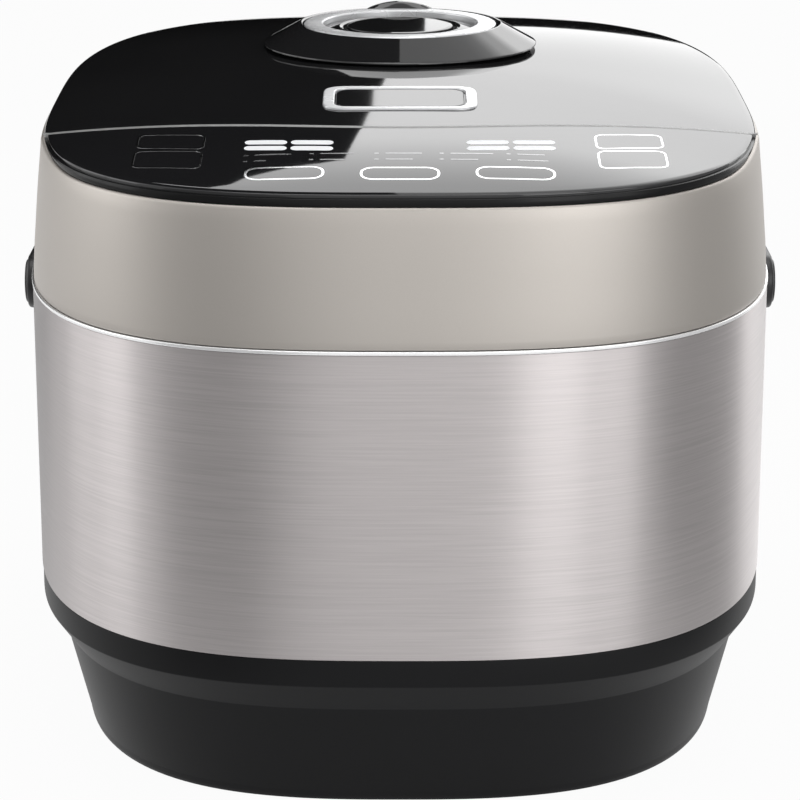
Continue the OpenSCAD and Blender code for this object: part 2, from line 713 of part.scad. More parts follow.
module lid_knuckles() color("#d8d5cf") in_frame() difference() {
    union() {
        block([-notch_w / 2 + 0.5, hinge_y - 14.5, lid_z + 0.3],
            [notch_w / 2 - 0.5, hinge_y - 12, notch_top - 0.3]);
        for (s = [-1, 1]) {
            x = s * (hinge_w / 2 - ear_t - move_gap - knuckle_w / 2);
            block([x - knuckle_w / 2, hinge_y - 12, hinge_z - 3.3],
                [x + knuckle_w / 2, hinge_y, hinge_z + knuckle_r]);
            bar_x(x - knuckle_w / 2, x + knuckle_w / 2, hinge_y, hinge_z, knuckle_r);
        }
    }
    bar_x(-hinge_w, hinge_w, hinge_y, hinge_z, pin_r + run_fit);
}

module lid_screws() color("#9a9da1") in_frame() at_lid_posts() {
    translate([0, 0, frame_z - 1.6]) cylinder(h = 1.6, r = 3.4);
    translate([0, 0, frame_z]) cylinder(h = 14, r = 1.7);
}

// ---------------------------------------------------------------- panel electronics

module control_board() color("#2f6b45") in_frame()
    block([-panel_board_w / 2, panel_board_y[0], panel_board_z],
        [panel_board_w / 2, panel_board_y[1], panel_board_z + panel_board_t]);

module display_modules() color("#e8e8e4") in_frame() for (s = [-1, 1])
    block([s * display_x - 16, display_y - 6, panel_board_z + panel_board_t],
        [s * display_x + 16, display_y + 6, dome_z(display_x + 16, display_y - 6) - glass_t - 0.3]);

module key_springs() color("#c98a4b") in_frame() for (p = key_places) translate([p.x, p.y, 0])
    translate([0, 0, panel_board_z + panel_board_t])
        tube(dome_z(abs(p.x) + 4, p.y - 4) - glass_t - 0.3 - panel_board_z - panel_board_t, 3.8, 2.6);

// ---------------------------------------------------------------- open button and latch

module on_button() translate([0, -button_front, dome_z(0, -button_front)])
    rotate([button_slope, 0, 0]) children();

module button_bezel() color("#d6d8da") in_frame() on_button() difference() {
    translate([0, 0, -3.6]) linear_extrude(4.4) rounded(frame_w, frame_d, frame_r);
    translate([0, 0, -5]) linear_extrude(8)
        rounded(frame_w - 2 * frame_border, frame_d - 2 * frame_border, frame_r - 3);
}

module button_cup() color("#1d1e20") in_frame() translate([0, -button_front, 0]) {
    wall_top = dome_z(0, -button_front - frame_d / 2) - 5;
    difference() {
        translate([0, 0, cup_floor]) linear_extrude(wall_top - cup_floor)
            rounded(frame_w - 3, frame_d - 3, frame_r - 1);
        translate([0, 0, cup_floor + 2]) linear_extrude(100)
            rounded(frame_w - 2 * frame_border + 1.6, frame_d - 2 * frame_border + 1.6, frame_r - 3);
        translate([0, pusher_y + button_front, cup_floor]) cube([8, 8, 20], center = true);
    }
}

module button_spring() color("#a7abb0") in_frame() translate([0, pusher_y, 0])
    rings_up(6.5, spring_wire, cup_floor + 2.9, 2.3, 4);

module open_button() color("#1a1b1d") in_frame() {
    on_button() translate([0, 0, 1 - button_h]) linear_extrude(button_h)
        rounded(button_w, button_d, frame_r - 3.4);
    block([-3, pusher_y - 3, latch_z + lever_t / 2 + move_gap],
        [3, pusher_y + 3, dome_z(0, -button_front) - button_h + 2]);
}

module latch_bracket() color("#8f9296") in_frame() for (s = [-1, 1]) difference() {
    x = s * (lever_w / 2 + move_gap + 2);
    union() {
        block([x - 1.5, latch_y - 8, frame_top], [x + 1.5, latch_y + 8, latch_z]);
        bar_x(x - 1.5, x + 1.5, latch_y, latch_z, 8);
    }
    bar_x(-20, 20, latch_y, latch_z, latch_pin_r + 0.05);
}

module latch_pin() color("#c9cbce") in_frame() bar_x(-11, 11, latch_y, latch_z, latch_pin_r);

module latch_hook() color("#c7c4bb") in_frame() difference() {
    union() {
        bar_x(-lever_w / 2, lever_w / 2, latch_y, latch_z, 5);
        block([-lever_w / 2, latch_y, latch_z - lever_t / 2],
            [lever_w / 2, pusher_y + 6, latch_z + lever_t / 2]);
        translate([-lever_w / 2, 0, 0]) rotate([90, 0, 90]) linear_extrude(lever_w) polygon([
            [latch_y - 3, latch_z], [latch_y - 3, hook_low], [latch_y + 1, hook_low],
            [catch_edge - move_gap, hook_low + 3], [catch_edge - move_gap, hook_low + 4.2],
            [latch_y + 0.5, hook_low + 4.2], [latch_y + 0.5, latch_z]]);
    }
    bar_x(-20, 20, latch_y, latch_z, latch_pin_r + run_fit);
}

// ---------------------------------------------------------------- steam vent

module vent_skirt() color("#121314") in_frame() at_vent() {
    foot_z = edge_mid_z + 13.4;
    rotate_extrude() polygon([
        [vent_r - 6.6, foot_z + 1.3], [skirt_r - 3, foot_z + 0.6], [skirt_r, foot_z + 0.15],
        [skirt_r, foot_z + 0.5], [vent_r + 1.1, vent_top - 1.7], [vent_r + 0.3, vent_top - 1.9],
        [vent_r + 0.3, foot_z + 2.1], [vent_r - 6.6, foot_z + 2.1]]);
}

module vent_duct() color("#d8d5cf") in_frame() at_vent() {
    cup_r = vent_r - 7.4;
    top = edge_mid_z + 12.6;
    rotate_extrude() polygon([
        [9, frame_z - 1], [11, frame_z - 1], [11, edge_mid_z - 10], [cup_r, edge_mid_z - 10],
        [cup_r, top], [cup_r - 2, top], [cup_r - 2, edge_mid_z - 8], [9, edge_mid_z - 8]]);
}

module duct_seal() color("#c9c6bf") in_frame() at_vent() translate([0, 0, frame_z - 1.8])
    tube(0.8, 11.5, 8.5);

module vent_cap() color("#131415") in_frame() at_vent() {
    body_r = vent_r - 10;
    low = edge_mid_z - 2;
    difference() {
        union() {
            // cup under the cover, then the cover with its round steam gap
            translate([0, 0, low]) cylinder(h = vent_top - 4.5 - low, r = body_r);
            translate([0, 0, vent_top - 4.5]) cylinder(h = 2.9, r = vent_r - 8.7);
        }
        translate([0, 0, low + 2]) cylinder(h = vent_top - 7 - low - 2, r = body_r - 2);
        translate([0, 0, vent_top - 4]) tube(10, 21.3, 19.7);
        for (a = [0 : 45 : 315]) rotate(a) translate([20.5, 0, vent_top - 12]) cylinder(h = 12, r = 0.7);
        for (a = [22.5 : 45 : 360]) rotate(a) translate([12, 0, low - 1]) cylinder(h = 5, r = 2.5);
        translate([0, 0, edge_mid_z + 6]) rotate_extrude() translate([body_r - 0.6, 0]) circle(1, $fn = 24);
    }
    translate([0, 0, vent_top - 1.7]) cylinder(h = 0.7, r = 19.4);
}

module cap_seal() color("#c9c6bf") in_frame() at_vent() translate([0, 0, edge_mid_z + 6])
    rotate_extrude() translate([vent_r - 10.6, 0]) circle(0.9, $fn = 24);

module vent_ring() color("#d6d8da") in_frame() at_vent() {
    low = vent_top - 4.6;
    rotate_extrude() polygon([
        [vent_r - 8.4, low], [vent_r, low], [vent_r, vent_top - 1.2], [vent_r - 1.6, vent_top],
        [vent_r - 5.5, vent_top], [vent_r - 8.4, vent_top - 1.6]]);
    // finger tab at the rear of the ring
    rotate(69) rotate_extrude(angle = 42) polygon([
        [vent_r - 4.2, vent_top], [vent_r + 2.2, vent_top - 0.8], [vent_r + 1.8, vent_top + tab_h - 0.8],
        [vent_r + 0.4, vent_top + tab_h], [vent_r - 1.4, vent_top + tab_h - 0.4]]);
}

// ---------------------------------------------------------------- inner lid

module inner_lid() color("#c4c7ca") in_frame() difference() {
    edge = pot_r - 3;
    at_pot() rotate_extrude() polygon([
        [0, lid_z - 0.8], [edge - 6, lid_z - 0.8], [edge - 4, lid_z - 0.3], [edge, lid_z - 0.3],
        [edge, lid_z + 2.2], [edge - 1, lid_z + 2.2], [edge - 1, lid_z + 0.7], [edge - 4.4, lid_z + 0.7],
        [edge - 6.4, lid_z + 0.2], [0, lid_z + 0.2]]);
    at_vent() for (a = [0 : 60 : 300]) rotate(a) translate([5, 0, 0]) cylinder(h = 300, r = 1.6);
}

module lid_gasket() color("#b9b7b2") in_frame() at_pot() rotate_extrude() polygon([
    [pot_r - 2.9, lid_z - 0.6], [pot_r - 2.9, frame_z], [pot_r + 4, frame_z],
    [pot_r + 5.5, pot_top + move_gap], [pot_r + 2, pot_top + move_gap], [pot_r, lid_z - 0.6]]);

module lid_heater() color("#bfc3c7") in_frame() difference() {
    at_pot() translate([0, 0, frame_z - 0.8]) cylinder(h = 0.8, r = heater_r);
    at_vent() cylinder(h = 300, r = 14);
    at_lid_posts() cylinder(h = 300, r = lid_post_r + 0.5);
    at_lid_sensor() cylinder(h = 300, r = 6);
}

module lid_sensor() color("#c3c6c9") in_frame() at_lid_sensor() translate([0, 0, lid_z + 0.3]) {
    cylinder(h = 9, r = 4);
    translate([0, 0, frame_top - lid_z - 0.3]) cylinder(h = 2, r = 7);
}

// ---------------------------------------------------------------- carry handle

module handle() color("#1e1f21") in_frame() {
    difference() {
        union() {
            translate([0, 0, pivot_z - bar_h / 2]) linear_extrude(bar_h) difference() {
                intersection() {
                    rounded(2 * arm_out, 2 * bar_rear, bar_corner + arm_t);
                    translate([-200, 0]) square([400, 400]);
                }
                rounded(2 * arm_in, 2 * bar_in, bar_corner);
            }
            for (s = [0, 1]) mirror([s, 0, 0]) bar_x(arm_in, arm_out, 0, pivot_z, pivot_boss_r);
        }
        bar_x(-200, 200, 0, pivot_z, stud_r + run_fit);
    }
}

module handle_caps() color("#2a2b2e") in_frame() for (s = [0, 1]) mirror([s, 0, 0])
    bar_x(arm_out, arm_out + cap_t, 0, pivot_z, pivot_boss_r - 2);

rubber_feet();
base_tray();
base_screws();
outer_sleeve();
seam_ring();
top_deck();
pot_well();
coil_bowl();
induction_coil();
side_coil();
ferrite_bars();
coil_frame();
sensor_guide();
sensor_spring();
sensor_plunger();
power_board();
heat_sink();
filter_parts();
fan_frame();
fan_rotor();
mains_inlet();
inlet_pins();
hinge_bracket();
hinge_pin();
hinge_springs();
latch_catch();
handle_studs();
handle_bushes();
inner_pot();
lid_band();
lid_top();
panel_glass();
panel_trim();
front_rim();
lid_frame();
lid_knuckles();
lid_screws();
control_board();
display_modules();
key_springs();
button_bezel();
button_cup();
button_spring();
open_button();
latch_bracket();
latch_pin();
latch_hook();
vent_skirt();
vent_duct();
duct_seal();
vent_cap();
vent_ring();
cap_seal();
inner_lid();
lid_gasket();
lid_heater();
lid_sensor();
handle();
handle_caps();
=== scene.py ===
# %% [markdown]
# # Dressing an induction rice cooker
# The imported model gives every solid its true size and place, so this lesson starts from it and
# never moves it. Each outer piece is then modelled again with softer edges and finer skins, and
# each inner piece keeps its solid and gets a finish. Loading comes first, because every new piece
# is tied to a body of that model.

# %% Load the frame
import json
import math

import bmesh
import bpy
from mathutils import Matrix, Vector


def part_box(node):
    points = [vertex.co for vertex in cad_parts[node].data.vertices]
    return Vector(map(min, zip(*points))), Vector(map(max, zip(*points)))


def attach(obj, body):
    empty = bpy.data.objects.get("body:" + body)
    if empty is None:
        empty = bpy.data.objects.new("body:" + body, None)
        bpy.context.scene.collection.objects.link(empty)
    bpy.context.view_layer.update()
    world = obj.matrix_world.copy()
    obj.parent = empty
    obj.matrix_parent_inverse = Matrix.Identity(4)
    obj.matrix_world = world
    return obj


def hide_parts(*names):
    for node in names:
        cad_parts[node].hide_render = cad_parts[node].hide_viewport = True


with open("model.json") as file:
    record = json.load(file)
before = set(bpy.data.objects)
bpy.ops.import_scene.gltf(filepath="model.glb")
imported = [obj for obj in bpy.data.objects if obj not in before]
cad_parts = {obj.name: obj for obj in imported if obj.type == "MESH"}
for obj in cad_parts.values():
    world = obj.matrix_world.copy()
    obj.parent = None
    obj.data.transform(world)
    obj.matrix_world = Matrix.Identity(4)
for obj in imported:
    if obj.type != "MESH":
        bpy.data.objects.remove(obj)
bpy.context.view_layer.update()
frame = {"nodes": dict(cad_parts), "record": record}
nodes = frame["nodes"]

# %% [markdown]
# ## The camera
# A long lens from a little over a metre away shows the cooker nearly square on, with only a slight
# narrowing towards its base. A long lens was chosen over a wide one because it keeps the round
# corners true. The camera looks a little down, so the glossy lid shows its whole top.

# %% Camera
BODY_Y = -12.125  # the body's middle in mm, from which all sizes below are counted
LENS, AWAY, UP, TILT = 133.07, 1.068, 0.4077, 16.03  # mm, metres, metres, degrees

lens_view = bpy.data.cameras.new("camera")
lens_view.lens = LENS
lens_view.sensor_width = 36
lens_view.clip_start = 0.05
lens_view.clip_end = 60
camera = bpy.data.objects.new("camera", lens_view)
bpy.context.scene.collection.objects.link(camera)
camera.location = (0, BODY_Y / 1000 - AWAY, UP)
camera.rotation_euler = (math.radians(90 - TILT), 0, 0)
bpy.context.scene.camera = camera
bpy.context.scene.view_settings.view_transform = "Standard"
print("camera stands", AWAY, "m in front of the body's middle")

# %% [markdown]
# ## Writing materials as sums
# A shader is a net of small nodes, and a long net is hard to read. One small class holds what a
# node gives and lets Python's own signs add the Math nodes, so a finish can be written as an
# expression. A second class has the one method that adds any other node to a net.

# %% Amounts and nets
class Amount:
    """What a node gives: a number or a colour that changes over a surface, or a shader."""

    def __init__(self, net, socket):
        self.net = net
        self.socket = socket

    def maths(self, operation, first, second):
        return self.net.node("ShaderNodeMath", {"operation": operation}, {0: first, 1: second})

    def __add__(self, other):
        return self.maths("ADD", self, other)

    def __radd__(self, other):
        return self.maths("ADD", other, self)

    def __mul__(self, other):
        return self.maths("MULTIPLY", self, other)

    def __rmul__(self, other):
        return self.maths("MULTIPLY", other, self)


class Net:
    """The nodes of one material, or of the world."""

    def __init__(self, tree):
        self.tree = tree

    def node(self, kind, settings=None, values=None, out=0):
        """Adds a node: its settings first, then the values or links of its sockets."""
        made = self.tree.nodes.new(kind)
        for word, setting in (settings or {}).items():
            if word == "stops":
                ramp = made.color_ramp
                for at, colour in setting[2:]:
                    ramp.elements.new(at)
                for stop, (at, colour) in zip(ramp.elements, sorted(setting)):
                    stop.position = at
                    stop.color = (*colour, 1)
            else:
                setattr(made, word, setting)
        for place, value in (values or {}).items():
            if isinstance(value, Amount):
                self.tree.links.new(value.socket, made.inputs[place])
            else:
                made.inputs[place].default_value = value
        return Amount(self, made.outputs[out])


print("a net can add nodes and do sums")

# %% [markdown]
# ## One class for a finish
# A finish is a net too: a material with its shader. What is the same all over it is given by name
# and set on the shader's own socket; what varies, such as its shade, its gloss and its bumps, is
# linked. Noise on the piece's own coordinates drives all three, because it needs no picture and
# stays sharp from near.

# %% Finishes
class Finish(Net):
    """One surface finish, with its shader's fixed numbers given by name."""

    def __init__(self, name, **fixed):
        self.material = bpy.data.materials.new(name)
        self.material.use_nodes = True
        super().__init__(self.material.node_tree)
        self.shader = self.tree.nodes["Principled BSDF"]
        for words, number in fixed.items():
            self.shader.inputs[words.replace("_", " ")].default_value = number

    def give(self, place, amount):
        self.tree.links.new(amount.socket, self.shader.inputs[place])

    def grain(self, stretch, detail=2.0, rough=0.5):
        """Noise over the piece; stretch is how many grains fit in a metre along x, y and z."""
        spot = self.node("ShaderNodeTexCoord", out="Object")
        spot = self.node("ShaderNodeMapping", {}, {"Vector": spot, "Scale": stretch})
        return self.node("ShaderNodeTexNoise", {},
                         {"Vector": spot, "Scale": 1.0, "Detail": detail, "Roughness": rough})

    def bump(self, height, depth):
        """Raises the surface by height times depth, depth in metres."""
        self.give("Normal", self.node("ShaderNodeBump", {},
                                      {"Strength": 1.0, "Distance": depth, "Height": height}))

    def shades(self, amount, dark, light, low=0.35, high=0.65):
        """Colour that runs from dark to light as the amount runs from low to high."""
        self.give("Base Color", self.node("ShaderNodeValToRGB", {"stops": [(low, dark), (high, light)]},
                                          {"Fac": amount}))


print(len(bpy.data.materials), "materials came with the solids")

# %% [markdown]
# ## Floor, softboxes and dark cloths
# Polished things show the room, so the room is built as a studio. The floor and the far walls are
# white, also in reflections. A black cloth hangs behind, and a glowing card in front of its right
# half: the lid's left half mirrors the cloth and its right half the card, up to the card's slanting
# edge. Two grey flags beside the cooker draw the dark bands on the steel.

# %% Cards and flags
def stage_card(name, corners, material):
    """A flat card of the studio; its corners are in mm from the body's middle."""
    bpy.ops.object.select_all(action="DESELECT")
    bpy.ops.mesh.primitive_circle_add(vertices=len(corners), radius=1, fill_type="NGON")
    card = bpy.context.object
    card.name = name
    for vertex, (x, y, z) in zip(card.data.vertices, corners):
        vertex.co = (x / 1000, (y + BODY_Y) / 1000, z / 1000)
    card.data.materials.append(material)
    card.visible_camera = False
    return card


# How brightly the card glows at each height, in metres, up to 5 m.
GLOW_TOP = 5.0
GLOW = [(0.6, 0.565), (1.0, 0.6), (1.25, 0.7), (1.45, 0.8), (1.63, 0.9), (1.76, 0.965), (1.86, 1.0),
        (1.93, 0.98), (2.0, 0.925), (2.1, 0.85), (2.2, 0.78), (2.3, 0.71), (2.4, 0.67), (2.8, 0.74),
        (3.1, 0.6), (3.5, 0.42), (4.2, 0.36)]
# The card's slanting left edge and its upper and right sides, as (x, height) in mm.
CARD_EDGE = [(39, 770), (-12, 860), (-15, 958), (-20, 1126), (-39, 1439), (-65, 1740), (-102, 2109),
             (-156, 2146), (-215, 2165), (-360, 2245), (-419, 2320), (-900, 2650), (-900, 2900),
             (-10, 2900), (-10, 8000), (2300, 8000), (2300, 380), (39, 380)]
CARD_Y, CLOTH_Y = 3000, 3050

glow = Finish("glowing_card", Base_Color=(0, 0, 0, 1), Specular_IOR_Level=0.0, Emission_Strength=3.4)
spot = glow.node("ShaderNodeTexCoord", out="Object")
height = glow.node("ShaderNodeSeparateXYZ", {}, {"Vector": spot}, out="Z")
level = glow.node("ShaderNodeMapRange", {}, {"Value": height, "From Min": 0.0, "From Max": GLOW_TOP})
greys = [(at / GLOW_TOP, (grey, grey, grey)) for at, grey in GLOW]
glow.give("Emission Color", glow.node("ShaderNodeValToRGB", {"stops": greys}, {"Fac": level}))
card = stage_card("softbox_behind", [(x, CARD_Y, z) for x, z in CARD_EDGE], glow.material)
card.visible_diffuse = False

black = Finish("black_cloth", Roughness=1.0, Specular_IOR_Level=0.0)
weave = black.grain((300, 300, 300))
black.shades(weave, (0.003, 0.003, 0.003), (0.005, 0.005, 0.005))
stage_card("cloth_behind", [(-3000, CLOTH_Y, 0), (3000, CLOTH_Y, 0), (3000, CLOTH_Y, 9000),
                            (-3000, CLOTH_Y, 9000)], black.material)


def flag(name, grey, first, last, near_first, near_last, high):
    """A grey card from first to last with a peak between; its foot lies out to the near corners."""
    peak = ((first[0] + last[0]) / 2, (first[1] + last[1]) / 2, high)
    felt = Finish(name, Base_Color=(0, 0, 0, 1), Specular_IOR_Level=0.0, Emission_Color=(1, 1, 1, 1),
                  Emission_Strength=grey)
    stage_card(name, [(*first, 0), (*last, 0), (*last, 60), peak, (*first, 60)], felt.material)
    stage_card(name + "_foot", [(*first, 2), (*near_first, 2), (*near_last, 2), (*last, 2)], felt.material)


flag("flag_left", 0.48, (-560, -375), (-110, -640), (-150, -200), (-85, -222), 560)
flag("flag_right", 0.55, (580, -420), (560, 330), (205, -120), (208, -40), 640)

# %% [markdown]
# ## Lamps, floor and walls
# Tall softboxes stand in a ring, brighter at the left and at the front right, and one hangs above.
# The floor and the world are white for the camera and in mirrors, but light nothing: only the
# lamps do, so the cooker keeps its own colours and a soft shadow under it.

# %% Lamps, floor and world
LAMP_AWAY, LAMP_UP = 2.8, 1.15  # metres
LAMPS = [(-106, 1.3), (-84, 2.0), (4, 0.4), (26, 2.85), (48, 1.75), (136, 1.8)]  # bearing, strength


def softbox(name, bearing, strength, wide=1.0, tall=2.2):
    """A softbox that looks at the cooker; bearing 0 is in front, 90 at the right, in degrees."""
    panel = bpy.data.lights.new(name, "AREA")
    panel.shape = "RECTANGLE"
    panel.size, panel.size_y = wide, tall
    panel.energy = strength * math.pi * wide * tall
    lamp = bpy.data.objects.new(name, panel)
    bpy.context.scene.collection.objects.link(lamp)
    turn = math.radians(bearing)
    lamp.location = (LAMP_AWAY * math.sin(turn), -LAMP_AWAY * math.cos(turn), LAMP_UP)
    lamp.rotation_euler = (math.radians(90), 0, turn)
    return lamp


for bearing, strength in LAMPS:
    softbox(f"softbox_{bearing}", bearing, strength)
top_box = softbox("softbox_above", 0, 3.0, 1.3, 1.3)
top_box.location, top_box.rotation_euler = (0, -0.01, 2.2), (0, 0, 0)


def seen_share(net, share):
    """Share for the camera's rays and for those that metal and glass send on, and none for others."""
    seen = net.node("ShaderNodeLightPath", out="Is Camera Ray")
    for kind in ("Is Glossy Ray", "Is Transmission Ray"):
        seen = seen.maths("MAXIMUM", seen, net.node("ShaderNodeLightPath", out=kind))
    return seen * share


bpy.ops.object.select_all(action="DESELECT")
bpy.ops.mesh.primitive_plane_add(size=16)
floor = bpy.context.object
floor.name = "floor"
pale = Finish("pale_floor", Base_Color=(0.8, 0.8, 0.8, 1), Roughness=0.9)
white = pale.node("ShaderNodeEmission")
lit = Amount(pale, pale.shader.outputs[0])
blend = pale.node("ShaderNodeMixShader", {}, {0: seen_share(pale, 0.96), 1: lit, 2: white})
pale.tree.links.new(blend.socket, pale.tree.nodes["Material Output"].inputs[0])
floor.data.materials.append(pale.material)

world = bpy.data.worlds.new("studio")
bpy.context.scene.world = world
world.use_nodes = True
walls = Net(world.node_tree)
sky = walls.tree.nodes["Background"]
sky.inputs["Color"].default_value = (1, 1, 1, 1)
walls.tree.links.new(seen_share(walls, 1.0).socket, sky.inputs["Strength"])

# %% [markdown]
# ## Steel, paint and gloss
# The sleeve is steel brushed along its length. Real scratches would take millions of faces, so its
# grain is noise stretched some seventy times further along than up, and the shader's own anisotropy
# spreads each light upwards, as brushing does.
# The lid's band is satin metallic paint with flakes too fine to see singly, and the top and the
# panel are gloss black with a haze that is barely there.

# %% Steel, paint and gloss
steel = Finish("brushed_steel", Metallic=1.0, Anisotropic=0.95, Anisotropic_Rotation=0.25)
streaks = steel.grain((26, 26, 1800), detail=4, rough=0.6)
steel.shades(streaks, (0.443, 0.416, 0.415), (0.515, 0.486, 0.484))
steel.give("Roughness", 0.35 + streaks * 0.18)
steel.bump(streaks, 0.0000025)

band_paint = Finish("champagne_paint", Metallic=0.85)
flakes = band_paint.grain((9000, 9000, 9000), detail=1)
band_paint.shades(flakes, (0.41, 0.383, 0.355), (0.447, 0.42, 0.392), 0.3, 0.7)
band_paint.give("Roughness", 0.45 + flakes * 0.06)

gloss = Finish("gloss_black", Roughness=0.04, IOR=1.5)
gloss.shades(gloss.grain((14, 14, 14)), (0.0185, 0.0185, 0.0195), (0.0215, 0.0215, 0.0225))
glass = Finish("panel_glass", Roughness=0.03, IOR=1.5)
glass.shades(glass.grain((14, 14, 14)), (0.019, 0.019, 0.0205), (0.021, 0.021, 0.0225))

print("made", steel.material.name, band_paint.material.name, gloss.material.name, glass.material.name)

# %% [markdown]
# ## Plated trim
# Real plating is never even: a faint cloudiness changes its shade and its gloss. The bright ring is
# nearly all metal, and the trim on the lid is softer, closer to silver paint, so one function makes
# them all and each gets its own share of metal.

# %% Plated trim
def plating(name, metallic, shine, grains, dark, light, rough, spread, detail=3):
    """Silver plating or silver ink: a faint cloudiness varies its shade and its gloss."""
    silver = Finish(name, Metallic=metallic, Specular_IOR_Level=shine)
    cloud = silver.grain((grains,) * 3, detail)
    silver.shades(cloud, dark, light)
    silver.give("Roughness", rough + cloud * spread)
    return silver.material


satin = plating("satin_silver", 0.3, 0.5, 60, (0.88, 0.885, 0.9), (0.93, 0.935, 0.95), 0.24, 0.06)
ring_silver = plating("plated_ring", 0.75, 0.5, 60, (0.955, 0.957, 0.965), (0.98, 0.982, 0.985),
                      0.2, 0.06)
line_silver = plating("silver_line", 0.25, 0.35, 200, (0.38, 0.38, 0.38), (0.43, 0.43, 0.425),
                      0.42, 0.1)
print("made", satin.name, ring_silver.name, line_silver.name)

# %% [markdown]
# ## Moulded plastic
# Base, rim, handle and feet are moulded plastic or rubber with a very fine texture. A mould leaves
# the same fine bumps everywhere, while wear and the flow of the plastic leave wide soft patches of
# gloss, so two noises of very different size are used.

# %% Moulded plastic
def fine_plastic(name, colour, rough, grains=2500, depth=0.00002, shine=0.5):
    """Moulded plastic: a fine moulded texture, slightly uneven in shade and gloss."""
    plastic = Finish(name, Specular_IOR_Level=shine)
    texture = plastic.grain((grains,) * 3)
    patches = plastic.grain((18,) * 3, detail=3)
    plastic.shades(patches, tuple(c * 0.88 for c in colour), tuple(c * 1.12 for c in colour))
    plastic.give("Roughness", rough - 0.04 + patches * 0.08)
    plastic.bump(texture, depth)
    return plastic.material


base_black = fine_plastic("satin_black", (0.0056, 0.0057, 0.0064), 0.44, shine=0.15)
rim_black = fine_plastic("rim_black", (0.009, 0.009, 0.0095), 0.22, depth=0.000003, shine=0.14)
handle_black = fine_plastic("handle_black", (0.014, 0.014, 0.0155), 0.36, shine=0.4)
rubber = fine_plastic("rubber_black", (0.03, 0.03, 0.031), 0.75, 1500, 0.00005)
print("made", base_black.name, rim_black.name, handle_black.name, rubber.name)

# %% [markdown]
# ## The outline that every shell shares
# From above the cooker is neither round nor square: its sides bulge a little and its corners are
# wide curves. A superellipse gives that shape from two sizes and one number for its squareness, so
# sleeve, ring, lid and base are all drawn from the same rule, each set in by its own few tenths.

# %% Plan outline
HALF_W, HALF_D = 131.5, 160.5  # half the body's width and depth
BODY_POWER = 2.87  # squareness
TURNS = [i * 1.5 for i in range(240)]  # the directions of its points, in degrees


def plan(inset, angle, power=BODY_POWER, share=1.0):
    """Point of the outline, set in by inset, in the direction of an angle in degrees."""
    c, s = math.cos(math.radians(angle)), math.sin(math.radians(angle))
    reach = ((abs(c) / (HALF_W - inset)) ** power + (abs(s) / (HALF_D - inset)) ** power) ** (-1 / power)
    return share * reach * c, share * reach * s


print("outline", 2 * HALF_W, "by", 2 * HALF_D, "mm, with", len(TURNS), "points")

# %% [markdown]
# ## Growing a shell ring by ring
# A shell is a closed strip that follows the outline, so the natural way by hand is to add a circle,
# extrude its edge, and shape each new ring as it appears. The helper below does that: it extrudes
# with the ordinary operator, and an index kept on each vertex tells which point of the next ring it
# moves to. Corners of the section are rounded first, so every edge catches a line of light.

# %% Growing
def soften(corners, steps=4):
    """Rounds the corners of a closed section; each corner is (across, up, radius)."""
    line = []
    for i, (x, y, radius) in enumerate(corners):
        corner = Vector((x, y))
        if radius == 0:
            line.append((x, y))
            continue
        before = (Vector(corners[i - 1][:2]) - corner).normalized()
        after = (Vector(corners[(i + 1) % len(corners)][:2]) - corner).normalized()
        reach = radius / math.tan(before.angle(after) / 2)
        for k in range(steps + 1):
            t = k / steps
            line.append(tuple(corner + before * reach * (1 - t) ** 2 + after * reach * t ** 2))
    return line


def grow(name, rings, ends="joined"):
    """Extrudes a circle of vertices through rings of points in mm, measured from the body's middle."""
    bpy.ops.object.select_all(action="DESELECT")
    bpy.ops.mesh.primitive_circle_add(vertices=len(rings[0]), radius=0.01)
    piece = bpy.context.object
    piece.name = piece.data.name = name
    bpy.ops.object.mode_set(mode="EDIT")
    bmesh.from_edit_mesh(piece.data).verts.layers.int.new("place")
    if ends == "joined":
        rings = rings + rings[:1]
    for number, ring in enumerate(rings):
        if number:
            bpy.ops.mesh.extrude_edges_move()
        edit = bmesh.from_edit_mesh(piece.data)
        place = edit.verts.layers.int["place"]
        if number == 0:
            for i, vertex in enumerate(edit.verts):
                vertex[place] = i
        for vertex in edit.verts:
            if vertex.select:
                x, y, z = ring[vertex[place]]
                vertex.co = (x / 1000, (y + BODY_Y) / 1000, z / 1000)
        bmesh.update_edit_mesh(piece.data)
    if ends == "closed":
        bpy.ops.mesh.edge_face_add()
        bpy.ops.mesh.select_all(action="DESELECT")
        edit = bmesh.from_edit_mesh(piece.data)
        edit.verts.ensure_lookup_table()
        for i in range(len(rings[0])):
            edit.verts[i].select_set(True)
        edit.select_flush(True)
        bmesh.update_edit_mesh(piece.data)
        bpy.ops.mesh.edge_face_add()
    bpy.ops.mesh.select_all(action="SELECT")
    bpy.ops.mesh.remove_doubles(threshold=0.000002)
    bpy.ops.mesh.normals_make_consistent(inside=False)
    bpy.ops.object.mode_set(mode="OBJECT")
    return piece


print("growing is ready")

# %% [markdown]
# ## Finishing a piece off
# Every piece ends the same way: its faces are smoothed up to an angle, so that edges stay crisp, it
# gets its material, it is tied to the body that carries it, and the solid that it stands for is hidden.

# %% Finishing off
def choose(piece):
    bpy.ops.object.select_all(action="DESELECT")
    piece.select_set(True)
    bpy.context.view_layer.objects.active = piece


def finish_off(piece, material, body, *replaced, angle=32, slot=None):
    """Smooths a piece, gives it its material, ties it to its body, and hides the solids it stands for."""
    choose(piece)
    if angle:
        bpy.ops.object.shade_smooth_by_angle(angle=math.radians(angle))
    piece.data.materials.clear()
    piece.data.materials.append(material)
    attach(piece, body)
    if replaced:
        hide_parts(*replaced)
    print(piece.name, "has", len(piece.data.polygons), "faces")


print("finishing off is ready")

# %% [markdown]
# ## The steel sleeve
# On the real cooker this is one thin sheet rolled round the body and closed behind. It could be
# solidified from a flat strip; growing a closed section instead lets the lower edge have the small
# rounded hem that shows as a bright line over the dark base.

